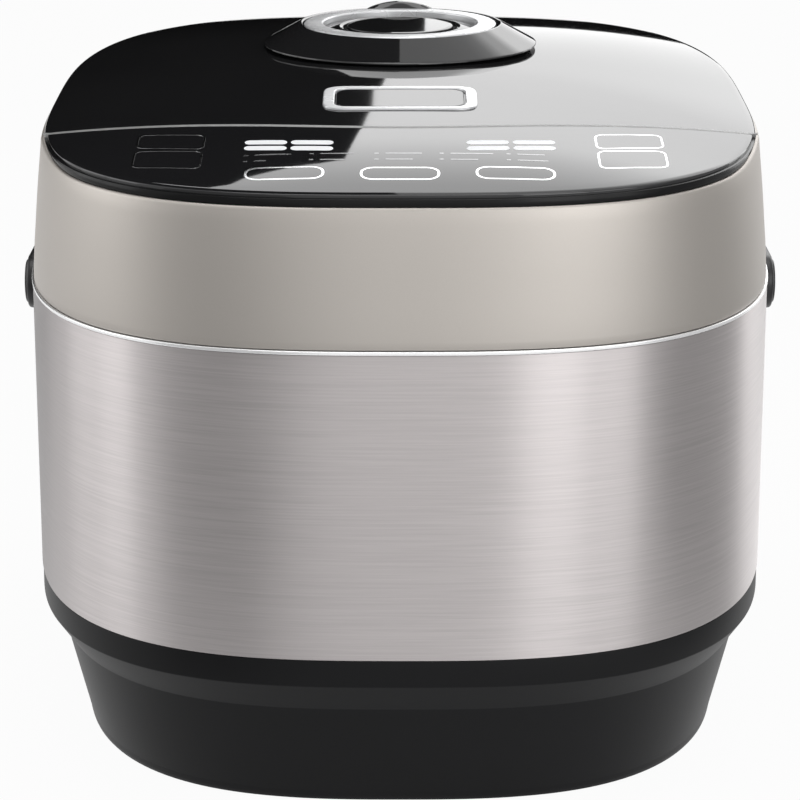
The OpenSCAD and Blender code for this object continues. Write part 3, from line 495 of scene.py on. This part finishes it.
# %% Sleeve
SLEEVE_LOW, SLEEVE_TOP = 57.8, 161.4


def shell(name, corners, steps=4):
    """Grows a closed section of (inset, height, radius) corners round the outline."""
    return grow(name, [[(*plan(inset, a), z) for a in TURNS] for inset, z in soften(corners, steps)])


sleeve = shell("steel_sleeve", [(0, SLEEVE_LOW, 0.55), (0, SLEEVE_TOP, 0.25), (0.8, SLEEVE_TOP, 0.2),
                                (0.8, SLEEVE_LOW, 0.15)], steps=3)
finish_off(sleeve, steel.material, "body", "outer_sleeve", slot="brushed_steel")

# %% [markdown]
# ## The bright ring under the lid
# A plated ring covers the top edge of the sheet and marks where the lid parts from the body. It is
# the same closed section with rounder corners, and it stops at both sides of the hinge. The gap could
# be left while growing; a boolean with a plain block is simpler and leaves clean ends.

# %% Seam ring
HINGE_HALF = 47  # half the opening left for the hinge


def box_cutter(low, high):
    """A block between two corners, in mm from the body's middle, to be cut away."""
    bpy.ops.object.select_all(action="DESELECT")
    middle = [(a + b) / 2000 for a, b in zip(low, high)]
    bpy.ops.mesh.primitive_cube_add(size=1, location=(middle[0], middle[1] + BODY_Y / 1000, middle[2]))
    cutter = bpy.context.object
    cutter.scale = [(b - a) / 1000 for a, b in zip(low, high)]
    bpy.ops.object.transform_apply(location=True, rotation=True, scale=True)
    return cutter


def cut(piece, cutter, how="DIFFERENCE"):
    """Cuts a piece with another and removes the cutter."""
    choose(piece)
    knife = piece.modifiers.new("cut", "BOOLEAN")
    knife.operation = how
    knife.solver = "EXACT"
    knife.object = cutter
    bpy.ops.object.modifier_apply(modifier="cut")
    bpy.data.objects.remove(cutter)


RING_LOW, RING_TOP = SLEEVE_TOP + 0.1, 162.8
ring = shell("bright_ring", [(-0.25, RING_LOW, 0.4), (-0.25, RING_TOP, 0.35), (1.9, RING_TOP, 0.3),
                             (1.9, RING_LOW, 0.2)])
cut(ring, box_cutter((-HINGE_HALF, 100, 155), (HINGE_HALF, 170, 170)))
finish_off(ring, ring_silver, "body", "seam_ring", slot="bright_ring")

# %% [markdown]
# ## The lid's champagne band
# The band leans in as it rises, and its top edge does two things: behind the bright line it passes
# under the black cover, and in front of it it dips to leave room for the dark rim. So its height is
# a rule of the depth, and at each side a pair of extra points stands close together where it steps.

# %% Lid band
EDGE_MID, LID_LOW = 216.2, 163.0  # height of the lid's upper edge beside its middle, and of its lower
COVER_T, RIM_H = 2.6, 3.7  # thickness of the cover, and the rim's full height
RIM_END_Y, RIM_FADE = -58, 56  # where the rim runs out, and the depth over which it grows
BAND_DROP, COVER_GAP = 0.1, 0.15  # how far the band's edge stays below the rim's and the cover's
LINE_MID, LINE_R = 158.2, 252.0  # the bright line's arc
STEP_X, STEP_AHEAD = 125.8, 4.5  # where the band steps: beside the middle, and in front of the line
step_y = LINE_MID - math.sqrt(LINE_R ** 2 - STEP_X ** 2) - STEP_AHEAD
step_angle = math.degrees(math.atan2(step_y, STEP_X))
step_pairs = [side + gap for side in (step_angle, 180 - step_angle) for gap in (0.03, -0.03)]
band_turns = sorted(a % 360 for a in TURNS + step_pairs)
# Rows of the band as (inset, share of the side's height); rows along the top have a drop in mm too.
BAND_ROWS = [(3.3, 0), (0.75, 0), (0.55, 0.002), (0.46, 0.008), (0.55, 0.06), (0.8, 0.14), (1.2, 0.25),
             (1.8, 0.38), (2.3, 0.5), (2.9, 0.63), (3.5, 0.75), (4.2, 0.88), (4.85, 1, 1.0),
             (4.98, 1, 0.6), (5.15, 1, 0.26), (5.4, 1, 0.07), (5.65, 1, 0), (5.95, 1, 0), (6.0, 1, 2.0),
             (8.5, 1, 2.2), (5.5, 0.63), (3.3, 0.14)]


def edge_height(y):
    """Height of the lid's edge, which climbs a little towards the back."""
    return EDGE_MID + 0.034 * y + 0.00005 * y * y


def rim_share(y):
    """How much of its full height the dark rim has: all at the front, none beside the cover."""
    t = max(0, min(1, (RIM_END_Y - y) / RIM_FADE))
    return t * t * (3 - 2 * t)


def band_top(angle, y):
    """Height of the band's top edge: under the cover behind the step, under the rim before it."""
    if step_angle % 360 < angle or angle < 180 - step_angle:
        return edge_height(y) - COVER_T - COVER_GAP
    return edge_height(y) - BAND_DROP - RIM_H * rim_share(y)


def band_ring(inset, share, drop=0.0):
    points = []
    for a in band_turns:
        x, y = plan(inset, a, BODY_POWER + 0.16 * share)
        if share < 1:
            z = LID_LOW + share * (edge_height(y) - RIM_H - LID_LOW)
        else:
            z = band_top(a, y) - drop
        points.append((x, y, z))
    return points


lid_band = grow("lid_band", [band_ring(*row) for row in BAND_ROWS])
cut(lid_band, box_cutter((-HINGE_HALF, 100, 150), (HINGE_HALF, 170, 176.2)))
finish_off(lid_band, band_paint.material, "lid", "lid_band", slot="champagne_paint")

# %% [markdown]
# ## The base tray
# A black moulded tray: an upright flange right under the steel, a slope that steps in, and a wall
# that leans in to the table. It is grown as one closed section, inside and out. The slots under the
# fan, the outlet slots and the opening for the mains inlet are cut afterwards, all with one cutter.

# %% Base tray
LIP_Z, UNDER_Z, TRAY_FLOOR_Z = 0.25, 4.0, 7.0
FAN_X, FAN_Y, FAN_R = -45, 62, 30  # the fan's middle and how far its slots reach
FAN_PITCH, FAN_SLOT = 5.4, 3.0
OUTLET_X, OUTLET_PITCH, OUTLET_SLOT = -88, 7, 3.4


def join(pieces, name):
    bpy.ops.object.select_all(action="DESELECT")
    for piece in pieces:
        piece.select_set(True)
    bpy.context.view_layer.objects.active = pieces[0]
    bpy.ops.object.join()
    pieces[0].name = name
    return pieces[0]


wall = soften([(15.9, LIP_Z, 0.8), (15.2, 5, 1.2), (7.2, 38, 1.6), (0.3, 48.5, 1.0),
               (0.3, SLEEVE_LOW, 0.5), (3.3, SLEEVE_LOW, 0), (3.3, 49.5, 0), (10.2, 39, 0),
               (18.2, TRAY_FLOOR_Z, 0)])
tray_rows = [(20, 0.03, UNDER_Z), (20, 0.5, UNDER_Z), (20, 1, UNDER_Z), (19.5, 1, LIP_Z)]
tray_rows += [(inset, 1, z) for inset, z in wall]
tray_rows += [(18.2, 0.5, TRAY_FLOOR_Z), (18.2, 0.03, TRAY_FLOOR_Z)]
tray = grow("base_tray", [[(*plan(inset, a, share=share), z) for a in TURNS]
                          for inset, share, z in tray_rows], ends="closed")
openings = []
for i in range(-5, 6):
    across = i * FAN_PITCH
    reach = math.sqrt(FAN_R ** 2 - across ** 2)
    openings.append(box_cutter((FAN_X + across - FAN_SLOT / 2, FAN_Y - reach, 0),
                               (FAN_X + across + FAN_SLOT / 2, FAN_Y + reach, 20)))
for i in range(6):
    left = OUTLET_X + i * OUTLET_PITCH
    openings.append(box_cutter((left, 120, 20), (left + OUTLET_SLOT, 160, 34)))
openings.append(box_cutter((-18.2, 122, 12.8), (18.2, 182, 41.2)))  # for the mains inlet
cut(tray, join(openings, "openings"))
finish_off(tray, base_black, "body", "base_tray", slot="satin_black")

# %% [markdown]
# ## The glossy lid
# The top is one shallow dome whose crown falls away to the edge. The rear cover and the front panel
# are two plates of that same dome, parted by a bright line that is an arc in plan. Each plate is
# grown from the dome as a whole and then cut with a drum, so their surfaces meet exactly. A plate's
# middle lies under the vent or is cut away, so its closing face never shows.

# %% Lid cover
LID_POWER, DOME_POWER, CROWN = 3.03, 2.12, 14.1  # squareness, fullness and rise of the dome
GLASS_INSET, COVER_INSET = 7.1, 6.2
LINE_HALF = 1.05  # half the slot that the bright line lies in
SHARES = [1, 0.985, 0.96, 0.93, 0.89, 0.84, 0.78, 0.71, 0.63, 0.54, 0.44, 0.33, 0.2, 0.08]
EDGE_SLOPE = 0.24  # how steeply the dome meets its edge
# A plate's rounded edge as shares: of its rounding inwards and downwards, and of its slope.
EDGE_ROWS = [(0, 1, 1), (0.06, 0.62, 1), (0.22, 0.3, 1), (0.5, 0.09, 0.6)]
CAP_HOLE_R, VENT_Y = 30.2, 34.0  # the hole under the steam vent


def lid_height(x, y):
    """Height of the lid's dome over any point."""
    out = (abs(x) / (HALF_W - GLASS_INSET)) ** LID_POWER + (abs(y) / (HALF_D - GLASS_INSET)) ** LID_POWER
    return edge_height(y) + CROWN * (1 - min(1, out ** (1 / LID_POWER)) ** DOME_POWER)


def dome_ring(share, inset, drop):
    points = []
    for a in TURNS:
        x, y = plan(inset, a, LID_POWER, share)
        points.append((x, y, lid_height(x, y) - drop))
    return points


def dome_plate(name, inset, thick, edge_r):
    """A plate of the lid's dome with a rounded upper edge."""
    slope = EDGE_SLOPE * (GLASS_INSET - inset)  # a wider plate's edge lies lower by this
    under = [dome_ring(s, GLASS_INSET, thick) for s in reversed(SHARES)]
    edge = [dome_ring(1, inset, thick)]
    edge += [dome_ring(1, inset + inward * edge_r, down * edge_r + sloped * slope)
             for inward, down, sloped in EDGE_ROWS]
    first = 1 if inset == GLASS_INSET else 0
    tops = [dome_ring(s, GLASS_INSET, 0) for s in SHARES[first:]]
    return grow(name, under + edge + tops, ends="closed")


def drum_cutter(y, radius, count=720):
    """An upright drum through the whole lid, to be cut away, or to keep what lies inside it."""
    low, high = 150, 300
    bpy.ops.object.select_all(action="DESELECT")
    bpy.ops.mesh.primitive_cylinder_add(vertices=count, radius=radius / 1000, depth=(high - low) / 1000,
                                        location=(0, (y + BODY_Y) / 1000, (low + high) / 2000))
    bpy.ops.object.transform_apply(location=True, rotation=True, scale=True)
    return bpy.context.object


cover = dome_plate("lid_cover", COVER_INSET, COVER_T, 1.0)
cut(cover, drum_cutter(LINE_MID, LINE_R - LINE_HALF), "INTERSECT")
cut(cover, drum_cutter(VENT_Y, CAP_HOLE_R, 180))
finish_off(cover, gloss.material, "lid", "lid_top", slot="glossy_black")

# %% [markdown]
# ## The front panel and its dark rim
# The panel is a plate of clear plastic printed black behind. Under its front edge a dark carrier
# shows as a band that is thickest in front and runs out towards the ends of the bright line. It could
# be a strip bent along that edge; growing it right round, with a height that follows the depth, and
# cutting it with the panel's own drum keeps the two flush at their ends.

# %% Panel and rim
GLASS_T = 1.1
panel = dome_plate("front_panel", GLASS_INSET, GLASS_T, 0.45)
cut(panel, drum_cutter(LINE_MID, LINE_R + LINE_HALF))
finish_off(panel, glass.material, "lid", "panel_glass", slot="panel_glass")

RIM_TUCK, RIM_LIFT = 0.32, 0.12  # how far it tucks in at its ends, and stays up from the band
# Rows of the rim as (inset, share of its own height), from under the panel round its outer face.
RIM_ROWS = [(18, 0), (6.6, 0), (6.3, 0.02), (6.05, 0.08), (5.9, 0.25), (5.82, 0.55), (5.8, 0.9),
            (5.85, 1), (18, 1)]


def rim_ring(inset, share):
    """A ring of the rim, which starts under the panel and tucks in a little where it runs out."""
    points = []
    for a in TURNS:
        height_share = rim_share(plan(inset, a, LID_POWER)[1])
        tuck = RIM_TUCK * (1 - max(0, min(1, (height_share - 0.5) / 0.14)))
        x, y = plan(inset + tuck, a, LID_POWER)
        tall = max(0.05, RIM_H * rim_share(y) - RIM_LIFT - GLASS_T)
        points.append((x, y, edge_height(y) - GLASS_T - share * tall))
    return points


rim = grow("dark_rim", [rim_ring(*row) for row in RIM_ROWS])
cut(rim, drum_cutter(LINE_MID, LINE_R + LINE_HALF))
finish_off(rim, rim_black, "lid", "front_rim", slot="glossy_black")

# %% [markdown]
# ## The bright line
# The line is a thin inlay in the slot between cover and panel. It could be a bevelled curve, but a
# section carried along the arc can follow the dome, and it tapers at both ends, where the slot
# meets the band.

# %% Bright line
LINE_STEPS, LINE_END_X = 90, 123.2
LINE_SECTION = [(1, -1.2), (1, 0.02), (0.7, 0.13), (0.25, 0.16), (-0.25, 0.16), (-0.7, 0.13),
                (-1, 0.02), (-1, -1.2)]
line_end = math.degrees(math.asin(LINE_END_X / LINE_R))
line_rings = []
for i in range(LINE_STEPS + 1):
    a = math.radians(-90 - line_end + 2 * line_end * i / LINE_STEPS)
    taper = min(1, 0.3 + 0.35 * min(i, LINE_STEPS - i))
    row = []
    for out, up in LINE_SECTION:
        r = LINE_R + out * taper
        x, y = r * math.cos(a), LINE_MID + r * math.sin(a)
        row.append((x, y, lid_height(x, y) + up))
    line_rings.append(row)
line = grow("bright_line", line_rings, ends="closed")
finish_off(line, line_silver, "lid", "panel_trim", slot="trim_silver")

# %% [markdown]
# ## Printed inks
# The bars are lit from behind, so their white glows a little. The keys' outlines are printed in
# mirror foil and the small captions in grey, and both show the room as plating does.

# %% Inks
ink = Finish("printed_white", Roughness=0.5, Emission_Strength=0.35, Emission_Color=(0.95, 0.97, 1, 1))
ink.shades(ink.grain((400, 400, 400)), (0.8, 0.81, 0.82), (0.88, 0.89, 0.9))
foil = plating("printed_silver", 1.0, 0.5, 400, (0.86, 0.86, 0.87), (0.95, 0.95, 0.96),
               0.06, 0.06, detail=2)
pale_ink = plating("printed_grey", 0.75, 0.5, 400, (0.27, 0.27, 0.275), (0.31, 0.31, 0.315),
                   0.1, 0.06, detail=2)
print("made", ink.material.name, foil.name, pale_ink.name)

# %% [markdown]
# ## Printed marks on the panel
# Keys are only outlines printed behind the panel, with lit bars and small lamps beside them. A
# painted mask could draw them, but thin flat shapes laid on the glass stay sharp at any distance.
# Each starts as a plane with its corners bevelled round; an inset leaves only its outline. The
# keys' words are left out, and a row of plain dots and dashes stands where captions would be.

# %% Printed marks
PRINT_T, PRINT_GAP = 0.03, 0.01  # thickness of the print, and its height over the glass


def flat_piece(name, wide, deep, round_r, segments, border, thick):
    """A flat piece with round corners, in mm or in metres; with a border only its outline stays.

    It is left in edit mode with all of it selected, for the next steps of the piece that it becomes.
    """
    bpy.ops.object.select_all(action="DESELECT")
    bpy.ops.mesh.primitive_plane_add(size=1)
    made = bpy.context.object
    made.name = made.data.name = name
    made.scale = (wide, deep, 1)
    bpy.ops.object.transform_apply(scale=True)
    bpy.ops.object.mode_set(mode="EDIT")
    bpy.ops.mesh.select_all(action="SELECT")
    bpy.ops.mesh.bevel(offset=round_r, offset_type="OFFSET", segments=segments, affect="VERTICES")
    bpy.ops.mesh.select_all(action="SELECT")
    if border:
        bpy.ops.mesh.inset(thickness=border)
        bpy.ops.mesh.delete(type="FACE")
        bpy.ops.mesh.select_all(action="SELECT")
    bpy.ops.mesh.extrude_region_move(TRANSFORM_OT_translate={"value": (0, 0, thick)})
    bpy.ops.mesh.select_all(action="SELECT")
    return made


def mark(x, y, wide, deep, round_r, border=None, skew=0.0):
    """A rounded mark on the panel; skew is how much it climbs for each mm to the right."""
    made = flat_piece("mark", wide, deep, round_r, 5, border, PRINT_T)
    bpy.ops.mesh.subdivide(number_cuts=1)
    bpy.ops.mesh.normals_make_consistent(inside=False)
    bpy.ops.object.mode_set(mode="OBJECT")
    for vertex in made.data.vertices:
        u, v, up = vertex.co
        px, py = x + u, y + v + skew * u
        vertex.co = (px / 1000, (py + BODY_Y) / 1000, (lid_height(px, py) + PRINT_GAP + up) / 1000)
    return made


bars = [mark(side * x, y + 0.0011 * (x * x - 835), 14.0, 3.9, 1.8, skew=side * 0.0022 * x)
        for side in (-1, 1) for x in (28.9, 44.2) for y in (-108.4, -113.9)]
finish_off(join(bars, "panel_bars"), ink.material, "lid", angle=0)
keys = [mark(x, -136.2 + 0.0007 * x * x, 25.7, 10.4, 4.4, 0.75) for x in (-37.2, 0, 37.2)]
keys += [mark(side * 76.2, y, 23.2, deep, 3.2, 0.6, skew=side * skew)
         for side in (-1, 1) for y, deep, skew in ((-99.1, 14.8, 0.35), (-116.9, 16.4, 0.3))]
finish_off(join(keys, "key_outlines"), foil, "lid", angle=0)
CAPTIONS = [(-50.3, 12, 4), (-28.8, 11, 8), (-7.6, 12, 9), (13.6, 14, 9), (35.4, 9, 10)]  # x, two lengths
captions = []
for x, first, second in CAPTIONS:
    for y, length in ((-118.9, first), (-124.2, second)):
        captions += [mark(x, y, 1.5, 0.8, 0.35), mark(x + 2.8 + length / 2, y, length, 0.7, 0.3)]
finish_off(join(captions, "captions"), pale_ink, "lid", angle=0)

# %% [markdown]
# ## The steam vent
# Round pieces are turned, so their sections are grown round a circle. A sloping gloss skirt carries
# a wide bright ring; inside the ring lies the cap with its round steam gap and a flat disc in the
# middle. Ring and cap lift out together for washing, and a small tab behind the ring is the grip.

# %% Vent skirt and ring
VENT_TOP, VENT_R = 238.2, 35.9  # top and outer radius of the bright ring
FOOT = EDGE_MID + 13.4  # the lid's surface beside the vent
RING_FOOT, CAP_FOOT, CAP_RIM = VENT_TOP - 5.0, EDGE_MID - 2, VENT_TOP - 4.5


def circle(middle, radius, count):
    """Points of a circle, evenly spaced, as pairs round its middle."""
    turns = [2 * math.pi * i / count for i in range(count)]
    return [(middle[0] + radius * math.cos(a), middle[1] + radius * math.sin(a)) for a in turns]


def turned(name, corners, x=0.0, y=VENT_Y, count=144, steps=4, ends="joined"):
    """Grows a section of (radius, height, rounding) corners round an upright axis."""
    section = soften(corners, steps)
    return grow(name, [[(*spot, z) for spot in circle((x, y), r, count)] for r, z in section], ends)


skirt = turned("vent_skirt", [(30.6, FOOT + 0.4, 0), (46.6, FOOT - 0.3, 0), (49.4, FOOT + 0.7, 0),
                              (50.9, FOOT + 0.8, 0.2), (50.9, FOOT + 1.4, 0.4), (50.0, FOOT + 1.89, 0),
                              (38.7, VENT_TOP - 0.53, 0), (38.0, VENT_TOP - 0.15, 0.4),
                              (36.5, VENT_TOP - 0.35, 0.1), (36.6, FOOT + 3.2, 0),
                              (30.6, FOOT + 3.2, 0)])
finish_off(skirt, gloss.material, "lid", "vent_skirt", slot="glossy_black")
vent_ring = turned("vent_ring", [(28.8, RING_FOOT, 0), (VENT_R, RING_FOOT, 0.2),
                                 (VENT_R, VENT_TOP - 0.4, 0.35), (35.2, VENT_TOP, 0.6),
                                 (29.1, VENT_TOP, 0.3), (28.8, VENT_TOP - 0.5, 0.2)], steps=5)
finish_off(vent_ring, satin, "vent", "vent_ring", slot="chrome")

# %% [markdown]
# ## The cap and its tab
# The cap is turned too, down to the slot that lets the steam out. The tab is a short arc whose
# section swells and dies away, so one profile is carried along the arc and scaled by a sine.

# %% Tab and cap
TAB_FROM, TAB_SWEEP, TAB_STEPS = 69, 42, 24  # degrees round the vent, and the number of steps
tab_rings = []
for i in range(TAB_STEPS + 1):
    a = math.radians(TAB_FROM + TAB_SWEEP * i / TAB_STEPS)
    rise = math.sin(math.pi * i / TAB_STEPS) ** 0.62
    profile = [(33.4, -0.9), (38.2, -1.8), (38.3, 2.6 * rise - 1.4), (37.8, 3.4 * rise - 1.1),
               (36.8, 3.4 * rise - 0.9), (35.6, 3.1 * rise - 0.8), (34.4, 1.6 * rise - 0.7),
               (33.6, 0.3 * rise - 0.7)]
    tab_rings.append([(r * math.cos(a), VENT_Y + r * math.sin(a), VENT_TOP + up) for r, up in profile])
tab = grow("vent_tab", tab_rings, ends="closed")
finish_off(tab, gloss.material, "vent", slot="glossy_black")

cap = turned("vent_cap", [(0.4, CAP_FOOT, 0), (27.2, CAP_FOOT, 1.0), (27.2, CAP_RIM, 0),
                          (28.5, CAP_RIM, 0.2), (28.5, VENT_TOP - 2.3, 0.5), (22.6, VENT_TOP - 1.3, 0.8),
                          (21.3, VENT_TOP - 1.7, 0.25), (21.3, VENT_TOP - 4, 0.1),
                          (19.7, VENT_TOP - 4, 0.1), (19.7, VENT_TOP - 1.2, 0.4),
                          (18.4, VENT_TOP - 1.0, 1.0), (0.4, VENT_TOP - 1.0, 0)], ends="closed")
finish_off(cap, gloss.material, "vent", "vent_cap", slot="glossy_black")

# %% [markdown]
# ## The open button and its bright frame
# A flat piece is inset to leave a frame, and its edges are bevelled so that the plating catches the
# light. The glossy button sits inside with a thin gap all round, a little lower, and travels down
# when it is pressed. Both lie on the lid's slope.

# %% Open button
BUTTON_Y, BUTTON_SLOPE = -61.0, math.radians(5.7)


def plate(name, wide, deep, round_r, low, high, edge_r, border=None, slim=None):
    """A plate on the lid's slope, or a frame: border wide at its ends, slim in front and behind."""
    made = flat_piece(name, wide / 1000, deep / 1000, round_r / 1000, 10, border and border / 1000,
                      (high - low) / 1000)
    bpy.ops.mesh.normals_make_consistent(inside=False)
    bpy.ops.object.mode_set(mode="OBJECT")
    softer = made.modifiers.new("soft_edges", "BEVEL")
    softer.width = edge_r / 1000
    softer.segments = 3
    softer.limit_method = "ANGLE"
    softer.angle_limit = math.radians(40)
    bpy.ops.object.modifier_apply(modifier="soft_edges")
    foot = lid_height(0, BUTTON_Y)
    for vertex in made.data.vertices:
        x, y, z = vertex.co * 1000
        if slim:
            opening, half = deep / 2 - border, deep / 2
            inside, outside = min(abs(y), opening), max(0, abs(y) - opening)
            y = math.copysign(inside / opening * (half - slim) + outside / border * slim, y)
        z += low
        back = y * math.cos(BUTTON_SLOPE) - z * math.sin(BUTTON_SLOPE) + BUTTON_Y
        up = y * math.sin(BUTTON_SLOPE) + z * math.cos(BUTTON_SLOPE) + foot
        vertex.co = (x / 1000, (back + BODY_Y) / 1000, up / 1000)
    return made


bezel = plate("button_frame", 53, 28, 8, -3.6, 0.5, edge_r=0.4, border=4.0, slim=2.7)
finish_off(bezel, satin, "lid", "button_bezel", angle=12, slot="chrome")
top = plate("open_button", 44.4, 22.0, 4.8, -8, 0.2, edge_r=0.7)
stem_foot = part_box("open_button")[0].z * 1000
stem = box_cutter((-3, -61, stem_foot), (3, -55, lid_height(0, BUTTON_Y) - 7))
button = join([top, stem], "open_button_top")
finish_off(button, gloss.material, "button", "open_button", angle=12, slot="glossy_black")

# %% [markdown]
# ## The carry handle
# One bar runs round the back, with an arm along each side that widens into a round boss on its
# pivot. The bar could be bent from a tube, but the real one is a flat moulding, so a rounded section
# is carried along its plan, from one pivot round the back to the other. The bosses are added, and a
# small cap hides each pivot.

# %% Carry handle
PIVOT_Z, BAR_HALF = 147.0, 10  # height of the pivots, and half the bar's height
ARM_IN, ARM_OUT, BAR_IN, BAR_OUT = 133.3, 137.7, 173.0, 185.0  # faces of the arms and of the rear bar


def bar_line(half_w, half_d, round_r, steps=16):
    """Rear half of a rounded rectangle, from the right pivot round the back to the left one."""
    points = [(half_w, 0)]
    for i in range(steps + 1):
        a = math.radians(90 * i / steps)
        points.append((half_w - round_r * (1 - math.cos(a)), half_d - round_r * (1 - math.sin(a))))
    points += [(-x, y) for x, y in reversed(points)]
    return points


bar_rings = []
for (ix, iy), (ox, oy) in zip(bar_line(ARM_IN, BAR_IN, 80.0), bar_line(ARM_OUT, BAR_OUT, 84.4)):
    thick = math.hypot(ox - ix, oy - iy)
    r = min(1.6, thick * 0.3)
    corners = [(0, -BAR_HALF, r), (thick, -BAR_HALF, r), (thick, BAR_HALF, r), (0, BAR_HALF, r)]
    row = []
    for across, up in soften(corners):
        t = across / thick
        row.append((ix + (ox - ix) * t, iy + (oy - iy) * t, PIVOT_Z + up))
    bar_rings.append(row)
bar = grow("carry_handle", bar_rings, ends="closed")


def side_disc(x0, x1, radius, edge_r):
    """A disc round the pivots' axis with rounded outer edges, from x0 out to x1."""
    corners = [(0.3, x0, 0), (radius, x0, edge_r * 0.5), (radius, x1, edge_r), (0.3, x1, 0)]
    return grow("disc", [[(x, *spot) for spot in circle((0, PIVOT_Z), r, 72)] for r, x in soften(corners)],
                ends="closed")


for side in (-1, 1):
    cut(bar, side_disc(side * ARM_IN, side * ARM_OUT, 10.0, 1.4), "UNION")
finish_off(bar, handle_black, "handle", "handle", slot="handle_black", angle=40)
caps = join([side_disc(side * (ARM_OUT - 0.3), side * (ARM_OUT + 0.8), 8.0, 0.7) for side in (-1, 1)],
            "handle_caps_soft")
finish_off(caps, handle_black, "handle", "handle_caps", slot="handle_black", angle=40)

# %% [markdown]
# ## Feet
# Four turned rubber feet get a rounded lower edge, so that they meet the table as soft rubber does.
# Bevelled cylinders would do as well; the turning helper is at hand, and one section serves all four.

# %% Feet
FOOT_SECTION = [(0.3, 0, 0), (10, 0, 1.2), (10, 4, 0.4), (0.3, 4, 0)]
feet = [turned("foot", FOOT_SECTION, x=x, y=y, count=48, ends="closed")
        for x in (-62, 62) for y in (-100, 100)]
finish_off(join(feet, "rubber_feet_soft"), rubber, "body", "rubber_feet", slot="rubber_black")

# %% [markdown]
# ## Inner pieces
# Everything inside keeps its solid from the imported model, because its shape is already right, and
# gets the finish that its material has: cast and pressed metal, enamelled copper, boards with
# solder mask, heat-resistant plastic and silicone.

# %% Pot, coil and board
pot_coating = Finish("pot_coating", Metallic=0.4)
specks = pot_coating.grain((1400, 1400, 1400), detail=1)
pot_coating.shades(specks, (0.03, 0.03, 0.032), (0.16, 0.16, 0.165), 0.6, 0.72)
pot_coating.give("Roughness", 0.34 + specks * 0.15)
pot_coating.bump(specks, 0.00002)

copper = Finish("enamelled_copper", Metallic=1.0, Coat_Weight=0.6, Coat_Roughness=0.15)
strands = copper.grain((700, 700, 700), detail=3)
copper.shades(strands, (0.5, 0.2, 0.09), (0.78, 0.38, 0.2))
copper.give("Roughness", 0.3 + strands * 0.15)
copper.bump(strands, 0.00008)

board = Finish("solder_mask", Roughness=0.35)
tracks = board.grain((260, 60, 60), detail=1)
board.shades(tracks, (0.02, 0.11, 0.055), (0.04, 0.2, 0.1), 0.48, 0.52)
board.bump(tracks, 0.00003)
print("made", pot_coating.material.name, copper.material.name, board.material.name)

# %% [markdown]
# ## Finishes for all solids that stay
# Bare metal is one family, as plastic was: fine scratches vary its gloss and its shade, stretched the
# way that the piece was drawn or machined. A table then gives each material slot its finish.

# %% Inner finishes
def plain_metal(name, colour, rough, stretch=(300, 300, 300)):
    """Bare metal: its scratches vary the gloss, and a faint cloudiness the shade."""
    metal = Finish(name, Metallic=1.0)
    scratches = metal.grain(stretch, detail=4, rough=0.6)
    metal.shades(scratches, tuple(c * 0.88 for c in colour), tuple(min(1, c * 1.06) for c in colour))
    metal.give("Roughness", rough - 0.06 + scratches * 0.12)
    metal.bump(scratches, 0.00001)
    return metal.material


inner = {
    "satin_black": base_black,
    "pot_coating": pot_coating.material,
    "copper": copper.material,
    "board_green": board.material,
    "deck_black": fine_plastic("deck_black", (0.028, 0.028, 0.03), 0.4),
    "cream_plastic": fine_plastic("cream_plastic", (0.66, 0.63, 0.55), 0.5),
    "lid_plastic": fine_plastic("lid_plastic", (0.62, 0.6, 0.57), 0.45),
    "ferrite": fine_plastic("ferrite", (0.05, 0.05, 0.055), 0.6, 900, 0.00004),
    "filter_yellow": fine_plastic("filter_yellow", (0.7, 0.46, 0.08), 0.4),
    "display_white": fine_plastic("display_white", (0.8, 0.8, 0.78), 0.35),
    "silicone": fine_plastic("silicone", (0.55, 0.54, 0.52), 0.5, 600, 0.00003),
    "well_alu": plain_metal("well_aluminium", (0.62, 0.63, 0.65), 0.35, (20, 20, 900)),
    "sensor_alu": plain_metal("sensor_aluminium", (0.74, 0.75, 0.76), 0.3),
    "sink_alu": plain_metal("sink_aluminium", (0.68, 0.69, 0.71), 0.42, (40, 900, 40)),
    "spring_steel": plain_metal("spring_steel", (0.55, 0.55, 0.56), 0.25),
    "zinc_steel": plain_metal("zinc_steel", (0.62, 0.63, 0.66), 0.34, (500, 500, 500)),
    "brass": plain_metal("brass", (0.78, 0.66, 0.36), 0.25),
    "inner_steel": plain_metal("inner_steel", (0.68, 0.69, 0.7), 0.24, (500, 20, 500)),
}
kept = 0
for part in frame["record"]["subparts"]:
    node = nodes[part["node"]]
    if not node.hide_render:
        node.data.materials.clear()
        node.data.materials.append(inner[part["material_slot"]])
        kept += 1
print(kept, "solids keep their own shape")
